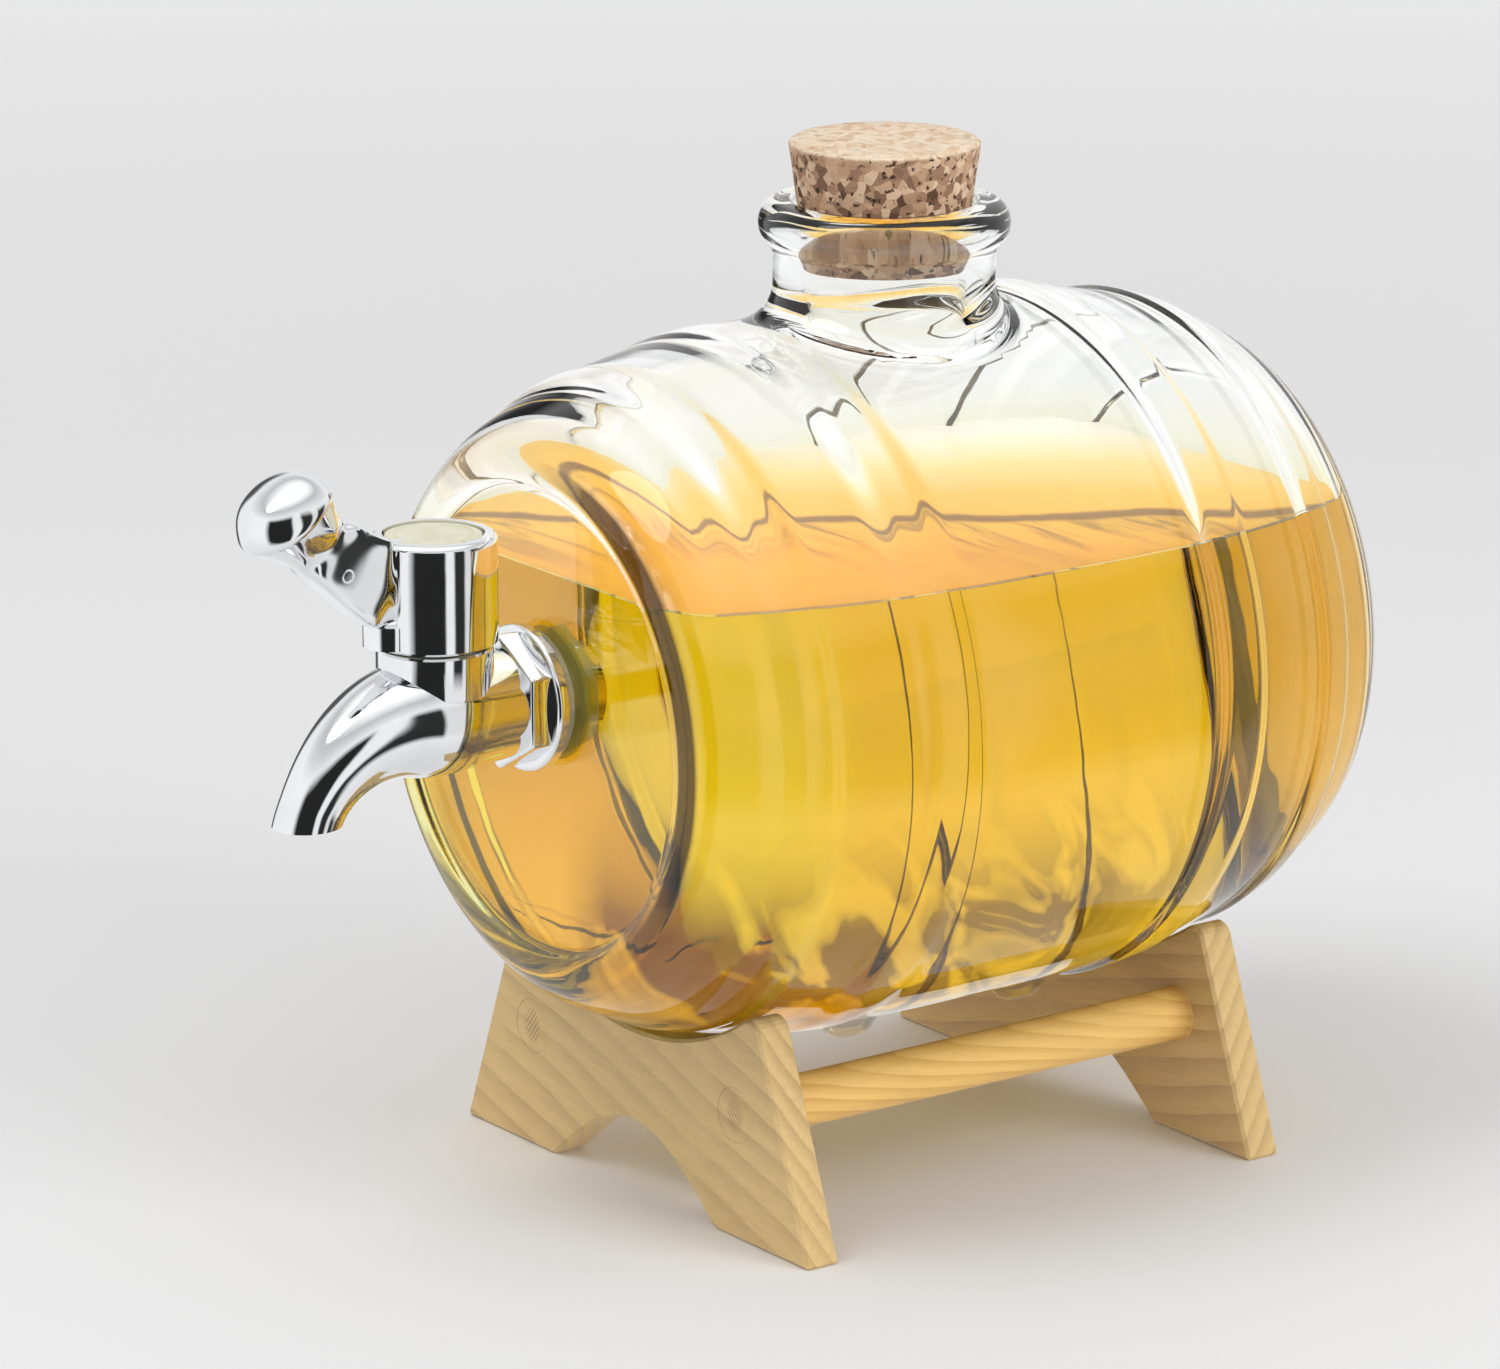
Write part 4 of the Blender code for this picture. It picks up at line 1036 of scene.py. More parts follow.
@dataclass(frozen=True)
class DowelWood(Pine):
    """A yellower dowel, whose end grain is hatched and as pale as the plate around it."""

    name: str = "dowel_wood_look"
    early: Colour = (0.96, 0.62, 0.20)
    late: Colour = (0.66, 0.34, 0.07)
    tilt: tuple[float, float, float] = (0.2, 0.0, math.pi / 2)
    ring_scale: float = 160.0
    end_dark: Colour = (0.36, 0.22, 0.11)
    centre: tuple[float, float, float] = (0.0275, 0.0239, 0.020)
    half_length: float = 0.0468
    end_depth: float = 0.0006
    hatch_lean: float = 0.8
    hatch_pitch: float = 7200.0
    hatch_squash: float = 1.5
    hatch_edge: tuple[float, float] = (0.0034, 0.0022)

    def paint(self, graph: Graph, shader: bpy.types.Node) -> None:
        """Draw the long grain and the hatched ends.

        Args:
            graph: The material's node tree.
            shader: Its Principled shader.
        """
        grain = self.grain(graph)
        x, y, z = graph.split(graph.coordinates())
        along = graph.maths("ABSOLUTE", graph.maths("SUBTRACT", y, self.centre[1]), 0.0)
        at_end = graph.maths("GREATER_THAN", along, self.half_length - self.end_depth)
        across = graph.maths("SUBTRACT", graph.maths("ABSOLUTE", x, 0.0), self.centre[0])
        up = graph.maths("SUBTRACT", graph.maths("ABSOLUTE", z, 0.0), self.centre[2])
        lean = graph.maths("ADD", across, graph.maths("MULTIPLY", up, self.hatch_lean))
        lines = graph.maths("SINE", graph.maths("MULTIPLY", lean, self.hatch_pitch), 0.0)
        away = graph.length(graph.maths("MULTIPLY", across, self.hatch_squash), up)
        patch = graph.span(away, *self.hatch_edge)
        hatch = graph.maths("MULTIPLY", graph.span(lines, -0.2, 0.7, 0.0, 0.75), patch)
        end = graph.mix(hatch, Pine().grain(graph).outputs["Color"], self.end_dark)
        graph.link(graph.mix(at_end, grain.outputs["Color"], end), shader.inputs["Base Color"])
        self.rub(graph, grain, shader)


@dataclass(frozen=True)
class Plastic(Finish):
    """Moulded plastic or rubber with a fine grain and a faint mottle."""

    name: str = "ivory_plastic_look"
    colour: Colour = (0.80, 0.78, 0.58)
    mark: Colour = (0.68, 0.65, 0.44)
    roughness: float = 0.32
    specks: float = 0.8
    cover: float = 1.0
    speck: Colour = (0.16, 0.14, 0.10)

    def paint(self, graph: Graph, shader: bpy.types.Node) -> None:
        """Draw a faint mottle, fine grain and a few dark specks.

        Args:
            graph: The material's node tree.
            shader: Its Principled shader.
        """
        mottle = graph.use(MOTTLE.group(), Scale=260.0, Stretch=EVEN, Low=0.4, High=0.9).outputs["Mask"]
        tone = graph.mix(mottle, self.colour, self.mark)
        dots = graph.use(MOTTLE.group(), Scale=520.0, Stretch=EVEN, Low=0.69, High=0.74).outputs["Mask"]
        dots = graph.maths("MULTIPLY", dots, self.specks)
        graph.link(graph.mix(dots, tone, self.speck), shader.inputs["Base Color"])
        graph.link(graph.span(mottle, 0.0, 1.0, self.roughness, self.roughness + 0.12),
                   shader.inputs["Roughness"])
        shader.inputs["Alpha"].default_value = self.cover
        relief = graph.use(RELIEF.group(), Scale=1400.0, Strength=0.15, Depth=0.0002)
        graph.link(relief.outputs["Normal"], shader.inputs["Normal"])


@dataclass(frozen=True)
class Steel(Finish):
    """Plain turned steel with fine rings."""

    name: str = "steel_look"
    colour: Colour = (0.58, 0.58, 0.59)
    ring: Colour = (0.68, 0.68, 0.69)

    def paint(self, graph: Graph, shader: bpy.types.Node) -> None:
        """Draw fine turning marks.

        Args:
            graph: The material's node tree.
            shader: Its Principled shader.
        """
        shader.inputs["Metallic"].default_value = 1.0
        marks = graph.use(MOTTLE.group(), Scale=900.0, Stretch=(1.0, 1.0, 6.0), Low=0.3, High=0.7)
        share = marks.outputs["Mask"]
        graph.link(graph.mix(share, self.colour, self.ring), shader.inputs["Base Color"])
        graph.link(graph.span(share, 0.0, 1.0, 0.22, 0.36), shader.inputs["Roughness"])


@dataclass
class BarrelShape:
    """The forms of the glass, measured from the barrel's middle and its axis."""

    half_length: float = 0.067
    radius: float = 0.056
    wall: float = 0.0035
    head_radius: float = 0.0385
    head_recess: float = 0.0008
    shoulder: float = 0.057
    drop: float = 0.0074
    hoops: tuple[tuple[float, float, float, float], ...] = (
        (0.0285, 0.0088, 0.0006, 0.0046), (0.0505, 0.0064, 0.0007, 0.0038),
        (-0.0285, 0.0088, 0.0010, 0.0020), (-0.0505, 0.0064, 0.0010, 0.0020))
    unevenness: float = 0.00008
    side_step: float = 0.00075
    side_steps: int = 76
    hollow_step: float = 0.0015
    hollow_steps: int = 37
    corner_hold: float = 0.0039
    hollow_corner_hold: float = 0.0012
    rim: tuple[tuple[float, float], ...] = ((0.0008, 0.00006), (0.0013, 0.00024), (0.0017, 0.00056))

    def plain(self, offset: float) -> float:
        """Return the plain outer radius at a distance from the middle."""
        return self.radius - self.drop * (abs(offset) / self.shoulder) ** 3

    def hooped(self, offset: float) -> float:
        """Return the outer radius with the moulded hoops.

        Args:
            offset: The distance from the barrel's middle.

        Returns:
            The radius.
        """
        rise = 0.0
        for spot, width, height, slope in self.hoops:
            edge = abs(offset - spot)
            rise = max(rise, height * (1 - blend_share(edge, (width - slope) / 2, (width + slope) / 2)))
        return self.plain(offset) + rise

    def outside(self) -> Profile:
        """Return the outer profile, from the rear head to the front head.

        Returns:
            Points of radius and height.
        """
        offsets = [step * self.side_step for step in range(-self.side_steps, self.side_steps + 1)]
        side = [(self.hooped(offset), offset) for offset in offsets]
        start = Vector((self.plain(self.shoulder), self.shoulder))
        middle = Vector((start.x - self.corner_hold, self.half_length))
        end = Vector((self.head_radius, self.half_length))
        corner = [tuple(bow(start, middle, end, step / 16)) for step in range(17)]
        head = self.half_length - self.head_recess
        rim = [(self.head_radius - inward, self.half_length - down) for inward, down in self.rim]
        rim += [(self.head_radius - 0.0022, head - 0.00001), (self.head_radius - 0.0030, head)]
        front = corner + rim + [(0.020, head), (0.004, head)]
        return [(r, -h) for r, h in reversed(front)] + side + front

    def inside(self, grow: float = 0.0) -> Profile:
        """Return the profile of the hollow, one wall in and grown by a little for the drink.

        Args:
            grow: How far it is grown outwards.

        Returns:
            Points of radius and height.
        """
        head = self.half_length - self.head_recess - self.wall + grow
        offsets = [step * self.hollow_step for step in range(-self.hollow_steps, self.hollow_steps + 1)]
        side = [(self.plain(offset) - self.wall + grow, offset) for offset in offsets]
        start = Vector((self.plain(self.shoulder) - self.wall + grow, self.shoulder))
        middle = Vector((start.x - self.hollow_corner_hold, head))
        end = Vector((self.head_radius - 0.001, head))
        corner = [tuple(bow(start, middle, end, step / 10)) for step in range(11)]
        front = corner + [(0.026, head), (0.014, head), (0.004, head)]
        return [(r, -h) for r, h in reversed(front)] + side + front

    def waver(self, point: Vector) -> Vector:
        """Return a point of the hollow's wall, moved a little in or out as moulded glass is.

        Args:
            point: The point as it was.

        Returns:
            Its new place.
        """
        centre = Vector((0.0, point.y, AXIS_Z))
        out = point - centre
        if out.length < 1e-6:
            return point.copy()
        bend = noise.noise(point * 38.0) + 0.5 * noise.noise(point * 85.0)
        return point + out.normalized() * bend * self.unevenness

    def height(self, x: float, y: float, inner: bool = False) -> float:
        """Return how high the glass stands above the axis over a point, outside or inside."""
        radius = self.plain(y - BARREL_Y) - (self.wall if inner else 0.0)
        return math.sqrt(max(radius ** 2 - x ** 2, 1e-8))


@dataclass
class GlassBarrel:
    """The glass: hooped barrel, neck with its rolled lip, bottom nubs, hollow and tap hole.

    A profile is a row of radii and heights. The heights of the skirts run up from the barrel's crest,
    and those of the lip and the cork's seat from the top of the neck.
    """

    shape: BarrelShape
    skirt: tuple[tuple[float, float], ...] = (
        (0.0225, -0.008), (0.0245, -0.0045), (0.0255, -0.0016), (0.0248, -0.0006), (0.0236, -0.00012))
    neck_radius: float = 0.0175
    neck_flare: float = 0.0052
    neck_drape: tuple[float, float] = (0.0030, 0.0078)
    lip_foot: tuple[tuple[float, float], ...] = ((0.0176, -0.0082), (0.0179, -0.0076))
    lip_middle: tuple[float, float] = (0.0164, -0.0037)
    lip_bulge: tuple[float, float] = (0.0034, 0.0037)
    lip_start: float = -1.05
    lip_top: tuple[tuple[float, float], ...] = ((0.0150, -0.00005), (0.010, -0.0002))
    bore_skirt: tuple[tuple[float, float], ...] = (
        (0.0130, -0.006), (0.0172, -0.0035), (0.0181, -0.0012), (0.0174, -0.0004))
    bore_radius: float = 0.0128
    bore_flare: float = 0.0038
    bore_drape: tuple[float, float] = (0.002, 0.0058)
    seat: tuple[tuple[float, float], ...] = (
        (0.0128, -0.0098), (0.0142, -0.0007), (0.01455, -0.0002), (0.0152, 0.0004), (0.0158, 0.002))
    nub: tuple[tuple[float, float], ...] = (
        (0.0050, -0.004), (0.0060, -0.0010), (0.0058, -0.0003), (0.0050, 0.0001), (0.0045, 0.0005),
        (0.0042, 0.0010), (0.0038, 0.0017), (0.0030, 0.0024), (0.0020, 0.00285), (0.0009, 0.0030))
    hole_radius: float = 0.0078
    hole_depth: float = 0.012
    hole_start: float = 0.009

    def draped(self, piece: bpy.types.Object, share: Callable[[float], float], inner: bool = False) -> None:
        """Drape an upright turned form over the barrel: the share of each height that follows it.

        Args:
            piece: A form turned about the neck's axis, its heights from the barrel's crest.
            share: Gives how far a point at a height follows the barrel's curve.
            inner: Whether it follows the hollow.
        """
        crest = self.shape.height(0.0, BARREL_Y, inner)

        def rule(point: Vector) -> Vector:
            """Return the place of a point once the form is draped."""
            fall = self.shape.height(point.x, point.y + BARREL_Y, inner) - crest
            return Vector((point.x, point.y + BARREL_Y, AXIS_Z + crest + point.z + share(point.z) * fall))

        Bench.moved(piece, rule)

    def neck(self) -> bpy.types.Object:
        """Return the outside of the neck as a solid, from its draped skirt to its rolled lip.

        Returns:
            The solid.
        """
        top = LIP_Z - AXIS_Z - self.shape.radius
        turns = [self.lip_start + (math.pi / 2 - self.lip_start) * step / 13 for step in range(14)]
        lip = [(radius, top + height) for radius, height in self.lip_foot]
        lip += [(self.lip_middle[0] + self.lip_bulge[0] * math.cos(a),
                 top + self.lip_middle[1] + self.lip_bulge[1] * math.sin(a)) for a in turns]
        lip += [(radius, top + height) for radius, height in self.lip_top]
        flare = flared(self.neck_radius, self.neck_flare, 9)
        form = Bench.turned("neck_form", list(self.skirt) + flare + lip, 112)
        self.draped(form, lambda height: 1 - blend_share(height, *self.neck_drape))
        return form

    def bore(self) -> bpy.types.Object:
        """Return the bore of the neck as a solid: cork seat, throat and a flare into the hollow.

        Returns:
            The solid.
        """
        top = LIP_Z - AXIS_Z - self.shape.radius + self.shape.wall
        seat = [(radius, top + height) for radius, height in self.seat]
        flare = flared(self.bore_radius, self.bore_flare, 6)
        form = Bench.turned("bore_form", list(self.bore_skirt) + flare + seat, 96)
        self.draped(form, lambda height: 1 - blend_share(height, *self.bore_drape), True)
        return form

    def hang(self, form: bpy.types.Object, across: float, along: float) -> None:
        """Turn an upright nub over and hang it under the barrel.

        Args:
            form: The nub.
            across: How far it is from the barrel's middle plane.
            along: How far it is from the barrel's middle, along its axis.
        """
        Bench.moved(form, lambda p: Vector((p.x + across, p.y + BARREL_Y + along, AXIS_Z - p.z
                                            - self.shape.height(p.x + across, p.y + BARREL_Y + along))))
        Bench.outward(form)

    def build(self) -> bpy.types.Object:
        """Build the glass barrel and return it.

        Returns:
            The dressed piece.
        """
        glass = Bench.place(Bench.turned("glass_barrel_clear", self.shape.outside(), 160),
                            (0.0, BARREL_Y, AXIS_Z), Facing.FRONT)
        Bench.combine(glass, self.neck(), Join.ADD)
        nub = Bench.turned("nub_form", list(self.nub), 48)
        for across in (-NUB_ACROSS, NUB_ACROSS):
            for along in (-NUB_ALONG, NUB_ALONG):
                form = Bench.copied(nub, "hung_nub_form")
                self.hang(form, across, along)
                Bench.combine(glass, form, Join.ADD)
        bpy.data.objects.remove(nub, do_unlink=True)
        hollow = Bench.place(Bench.turned("hollow_form", self.shape.inside(), 128),
                             (0.0, BARREL_Y, AXIS_Z), Facing.FRONT)
        Bench.moved(hollow, self.shape.waver)
        Bench.combine(hollow, self.bore(), Join.ADD)
        Bench.combine(glass, hollow, Join.CUT)
        hole = Bench.turned("tap_hole_form", [(self.hole_radius, at) for at in (0.0, self.hole_depth)], 64)
        Bench.place(hole, (0.0, BARREL_Y - self.shape.half_length + self.hole_start, TAP_Z), Facing.FRONT)
        Bench.combine(glass, hole, Join.CUT)
        Bench.smooth(glass, 42.0)
        return Bench.finish(glass, Body.BARREL, ClearGlass().material(), "clear_glass", "glass_barrel")


@dataclass
class DrinkFill:
    """The drink that fills the barrel to a little over half, pressed slightly into the glass."""

    shape: BarrelShape
    overlap: float = 0.00012
    film_gap: float = 0.00005
    film_top: float = 0.00035

    def form(self, name: str, top: float, bottom: float | None = None) -> bpy.types.Object:
        """Return the hollow's own form, cut level above and, if asked, below.

        Args:
            name: The piece's name.
            top: The height that it is cut at.
            bottom: The height that its underside is cut at, if it has one.

        Returns:
            The closed piece.
        """
        fill = Bench.turned(name, self.shape.inside(self.overlap), 128)
        Bench.place(fill, (0.0, BARREL_Y, AXIS_Z), Facing.FRONT)
        Bench.moved(fill, self.shape.waver)
        Bench.levelled(fill, top, 1.0, 1e-6)
        if bottom is not None:
            Bench.levelled(fill, bottom, -1.0, 1e-6)
        Bench.outward(fill)
        Bench.smooth(fill, 30.0)
        return fill

    def build(self) -> list[bpy.types.Object]:
        """Build the drink and the thin film on which the light of its surface is painted.

        Returns:
            Both dressed pieces.
        """
        fill = self.form("golden_drink", LEVEL_Z)
        film = self.form("drink_surface_painted_film", LEVEL_Z + self.film_top, LEVEL_Z + self.film_gap)
        return [Bench.finish(fill, Body.BARREL, Drink().material(), None),
                Bench.finish(film, Body.BARREL, DrinkSurfacePaintedLight().material(), None)]


@dataclass
class CorkStopper:
    """The tapered cork, its sides crumbled by small pits."""

    top_radius: float = 0.0150
    bottom_radius: float = 0.0125
    length: float = 0.0190
    proud: float = 0.0092
    edge: float = 0.0004
    pit: float = 0.00016

    def build(self) -> bpy.types.Object:
        """Build the cork and return it.

        Returns:
            The dressed piece.
        """
        steps = 34
        side = []
        for step in range(steps + 1):
            share = step / steps
            height = (1 - share) * (self.edge - self.length) - share * self.edge
            radius = self.bottom_radius + (self.top_radius - self.bottom_radius) * share
            side.append((radius, height))
        low, high = side[0], side[-1]
        profile = [(0.003, -self.length), (0.008, -self.length), (low[0] - self.edge, -self.length)] + side
        profile += [(high[0] - self.edge, 0.0), (0.011, 0.0), (0.007, 0.0), (0.003, 0.0)]
        cork = Bench.place(Bench.turned("cork_stopper_pressed", profile, 120),
                           (0.0, BARREL_Y, LIP_Z + self.proud))

        def crumble(point: Vector) -> Vector:
            """Return the place of a point of the side, pressed in where there is a pit.

            Args:
                point: The point as it was.

            Returns:
                Its new place.
            """
            out = Vector((point.x, point.y - BARREL_Y, 0.0))
            if out.length < self.bottom_radius * 0.9:
                return point.copy()
            depth = max(noise.noise(point * 900.0) + 0.6 * noise.noise(point * 2100.0) - 0.1, 0.0)
            return point - out.normalized() * depth * self.pit * 2

        Bench.moved(cork, crumble)
        Bench.smooth(cork, 60.0)
        return Bench.finish(cork, Body.CORK, PressedCork().material(), "cork", "cork_stopper")


@dataclass
class Tap:
    """The plated tap body: shank, flange, hexagonal collar, tube, valve neck and bent spout."""

    flange_back: float = -0.0419
    flange_radius: float = 0.0115
    flange_thickness: float = 0.0022
    collar_flats: float = 0.0186
    collar_length: float = 0.0036
    tube_radius: float = 0.0087
    belly: float = 0.0007
    neck_radius: float = 0.0090
    neck_bottom: float = 0.0038
    neck_top: float = 0.0109
    bend_radius: float = 0.0200
    bend_start: float = 0.0045
    turn: float = math.radians(64)
    tip_radius: float = 0.0052
    drop: float = 0.0136
    bore: float = 0.0041
    shank_radius: float = 0.0073
    shank_length: float = 0.0175
    belly_reach: float = 0.008
    past_mouth: float = 0.25
    neck_edge: float = 0.0004
    neck_top_edge: float = 0.0003
    collar_edge: float = 0.0005
    flange_edge: float = 0.0007
    bore_start_share: float = 0.45
    bore_past: float = 0.5

    def bellied(self, radius: float, y: float) -> float:
        """Return a radius of the tube with the belly under the valve added."""
        return radius + self.belly * math.exp(-((y - VALVE_Y) / self.belly_reach) ** 2)

    def way(self, travel: float) -> Vector:
        """Return a point of the spout's centre line at an angle along its bend."""
        reach = self.bend_start + self.bend_radius * math.sin(travel)
        return Vector((0.0, VALVE_Y - reach, TAP_Z - self.bend_radius * (1 - math.cos(travel))))

    def spout_radius(self, travel: float) -> float:
        """Return the spout's outer radius at an angle along its bend.

        Args:
            travel: The angle, in radians.

        Returns:
            The radius.
        """
        share = min(travel / self.turn, 1.0)
        ease = share * share * (3 - 2 * share)
        return self.tube_radius + (self.tip_radius - self.tube_radius) * (0.35 * share + 0.65 * ease)

    def tube(self) -> bpy.types.Object:
        """Return the tube and the spout as one bent form, cut level at the mouth.

        Returns:
            The closed form.
        """
        points, radii = [], []
        start = self.flange_back - self.flange_thickness / 2
        for step in range(25):
            y = start + (VALVE_Y - self.bend_start - start) * step / 25
            points.append(Vector((0.0, y, TAP_Z)))
            radii.append(self.bellied(self.tube_radius, y))
        for step in range(45):
            travel = (self.turn + self.past_mouth) * step / 44
            points.append(self.way(travel))
            radii.append(self.bellied(self.spout_radius(travel), points[-1].y))
        form = Bench.swept("tap_body_plated", points, radii, 30)
        Bench.levelled(form, TAP_Z - self.drop, -1.0, 1e-7)
        Bench.outward(form)
        return form

    def build(self) -> bpy.types.Object:
        """Build the tap body and return it.

        Returns:
            The dressed piece.
        """
        body = self.tube()
        low, high, edge, top_edge = self.neck_bottom, self.neck_top, self.neck_edge, self.neck_top_edge
        sleeve = [(self.neck_radius - edge, low), (self.neck_radius - edge / 4, low + edge / 4),
                  (self.neck_radius, low + edge), (self.neck_radius, high - top_edge),
                  (self.neck_radius - top_edge, high)]
        neck = Bench.turned("valve_neck_form", sleeve, 96)
        Bench.combine(body, Bench.place(neck, (0.0, VALVE_Y, TAP_Z)), Join.ADD)
        half = self.flange_thickness / 2
        collar = Bench.prism("collar_form", self.collar_flats, self.collar_length + half, self.collar_edge)
        Bench.place(collar, (0.0, self.flange_back - half, TAP_Z), Facing.FRONT)
        Bench.combine(body, collar, Join.ADD)
        flange = [(self.shank_radius, -self.shank_length), (self.shank_radius + 0.00001, -0.0002),
                  (self.flange_radius - 0.0003, 0.0), (self.flange_radius, 0.0003)]
        flange += rounded(self.flange_radius, self.flange_thickness, self.flange_edge, 5)
        flange += [(0.004, self.flange_thickness)]
        form = Bench.turned("flange_form", flange, 96)
        Bench.place(form, (0.0, self.flange_back, TAP_Z), Facing.FRONT)
        Bench.combine(body, form, Join.ADD)
        start = self.turn * self.bore_start_share
        travels = [start + (self.turn - start + self.bore_past) * step / 20 for step in range(21)]
        bore = Bench.swept("spout_bore_form", [self.way(t) for t in travels], [self.bore] * 21, 14)
        Bench.combine(body, bore, Join.CUT)
        Bench.smooth(body, 30.0)
        return Bench.finish(body, Body.BARREL, Plated().material(), "chrome_plate", "tap_body")


@dataclass
class Lever:
    """The plated handle: cap over the valve, curved lever with its knob, and the lug under the lever."""

    cap_radius: float = 0.0098
    cap_bottom: float = 0.0115
    cap_height: float = 0.0170
    cap_edge: float = 0.0012
    disc_radius: float = 0.0075
    stations: tuple[tuple[float, float, float, float, float], ...] = (
        (0.0050, 0.0206, 0.00, 0.0044, 0.0084), (0.0095, 0.0214, 0.12, 0.0042, 0.0078),
        (0.0135, 0.0242, 0.48, 0.0040, 0.0064), (0.0175, 0.0273, 0.74, 0.0040, 0.0054),
        (0.0212, 0.0302, 0.84, 0.0046, 0.0056), (0.0243, 0.0327, 0.92, 0.0062, 0.0072),
        (0.0264, 0.0348, 0.96, 0.0080, 0.0090), (0.0300, 0.0400, 1.00, 0.0058, 0.0062))
    rim_station: int = 6
    rim_crease: float = 0.45
    arm_crease: float = 0.5
    foot_edge: float = 0.0004
    disc_gap: float = 0.0003
    disc_depth: float = 0.0016
    wall: float = 0.0014
    hollow: tuple[float, float] = (-0.002, 0.0125)
    lug: tuple[tuple[float, float], ...] = (
        (0.0042, 0.0006), (0.0042, 0.0040), (0.0038, 0.0049), (0.0028, 0.0056), (0.0012, 0.0060))
    lug_reach: float = 0.0080
    dot: tuple[tuple[float, float], ...] = (
        (0.0012, -0.002), (0.0012, 0.0003), (0.0011, 0.0004), (0.0008, 0.0004), (0.0007, 0.0002),
        (0.0003, 0.0002))
    dot_place: tuple[float, float, float] = (0.0037, -0.0180, 0.0252)

    def arm(self) -> bpy.types.Object:
        """Return the lever and its knob, extruded from a cube's front face station by station.

        Returns:
            The lever, at its place on the tap.
        """
        Bench.clear()
        reach, height, _, wide, tall = self.stations[0]
        bpy.ops.mesh.primitive_cube_add(size=2.0, location=(0.0, -reach + 0.001, height),
                                        scale=(wide, 0.001, tall))
        arm = Bench.settle(Bench.named("lever_form"))
        bpy.ops.object.mode_set(mode="EDIT")
        bpy.ops.mesh.select_all(action="DESELECT")
        bpy.ops.object.mode_set(mode="OBJECT")
        for face in arm.data.polygons:
            face.select = face.normal.y < -0.9
        bpy.ops.object.mode_set(mode="EDIT")
        bpy.context.tool_settings.mesh_select_mode = (False, False, True)
        for before, after in zip(self.stations, self.stations[1:]):
            shift = (0.0, before[0] - after[0], after[1] - before[1])
            bpy.ops.mesh.extrude_region_move(TRANSFORM_OT_translate={"value": shift})
            centre = (0.0, -after[0], after[1])
            self.tilted(-before[2], centre)
            ratio = (after[3] / before[3], 1.0, after[4] / before[4])
            bpy.ops.transform.resize(value=ratio, center_override=centre)
            self.tilted(after[2], centre)
        bpy.ops.object.mode_set(mode="OBJECT")
        rings = [tuple(range(8 + 4 * step, 12 + 4 * step)) for step in range(len(self.stations) - 1)]
        self.creased(arm, self.arm_crease, lambda a, b: abs(a - b) == 4 and 8 <= min(a, b) < rings[3][0])
        self.creased(arm, self.rim_crease, lambda a, b: {a, b} <= set(rings[self.rim_station - 1]))
        Bench.apply(arm, "SUBSURF", levels=4, render_levels=4)
        return Bench.place(arm, (0.0, VALVE_Y, TAP_Z))

    @staticmethod
    def creased(arm: bpy.types.Object, amount: float, wanted: Callable[[int, int], bool]) -> None:
        """Crease the edges of the lever whose two point numbers a rule picks.

        Args:
            arm: The lever before it is subdivided.
            amount: How far the edges stay sharp, from 0 to 1.
            wanted: Says from an edge's two point numbers whether it is creased.
        """
        bpy.context.tool_settings.mesh_select_mode = (False, True, False)
        bpy.ops.object.mode_set(mode="EDIT")
        bpy.ops.mesh.select_all(action="DESELECT")
        bpy.ops.object.mode_set(mode="OBJECT")
        for edge in arm.data.edges:
            edge.select = wanted(*edge.vertices)
        bpy.ops.object.mode_set(mode="EDIT")
        bpy.ops.transform.edge_crease(value=amount)
        bpy.ops.object.mode_set(mode="OBJECT")
        bpy.context.tool_settings.mesh_select_mode = (True, False, False)

    @staticmethod
    def tilted(angle: float, centre: Sequence[float]) -> None:
        """Tilt the selected face so that a positive angle turns its outward side up."""
        if angle:
            bpy.ops.transform.rotate(value=angle, orient_axis="X", center_override=centre)

    def build(self) -> bpy.types.Object:
        """Build the handle and return it.

        Returns:
            The dressed piece.
        """
        top = self.cap_bottom + self.cap_height
        shell = [(self.cap_radius - self.foot_edge, self.cap_bottom),
                 (self.cap_radius, self.cap_bottom + self.foot_edge)]
        shell += rounded(self.cap_radius, top, self.cap_edge, 6)
        shell += [(self.disc_radius + self.disc_gap, top), (self.disc_radius + 0.0002, top - self.disc_depth),
                  (0.003, top - self.disc_depth)]
        cap = Bench.place(Bench.turned("tap_handle_plated", shell, 96), (0.0, VALVE_Y, TAP_Z))
        Bench.combine(cap, self.arm(), Join.ADD)
        lug = Bench.turned("lug_form", list(self.lug), 48)
        Bench.place(lug, (0.0, VALVE_Y - self.lug_reach, TAP_Z + self.cap_bottom))
        Bench.combine(cap, lug, Join.ADD)
        inner = self.cap_radius - self.wall
        hollow = Bench.turned("cap_hollow_form", [(inner, height) for height in self.hollow], 64)
        Bench.combine(cap, Bench.place(hollow, (0.0, VALVE_Y, TAP_Z + self.cap_bottom)), Join.CUT)
        x, y, z = self.dot_place
        dot = Bench.turned("lever_dot_form", list(self.dot), 32)
        Bench.combine(cap, Bench.place(dot, (x, VALVE_Y + y, TAP_Z + z), Facing.RIGHT), Join.ADD)
        Bench.smooth(cap, 32.0)
        return Bench.finish(cap, Body.HANDLE, Plated().material(), "chrome_plate", "tap_handle")


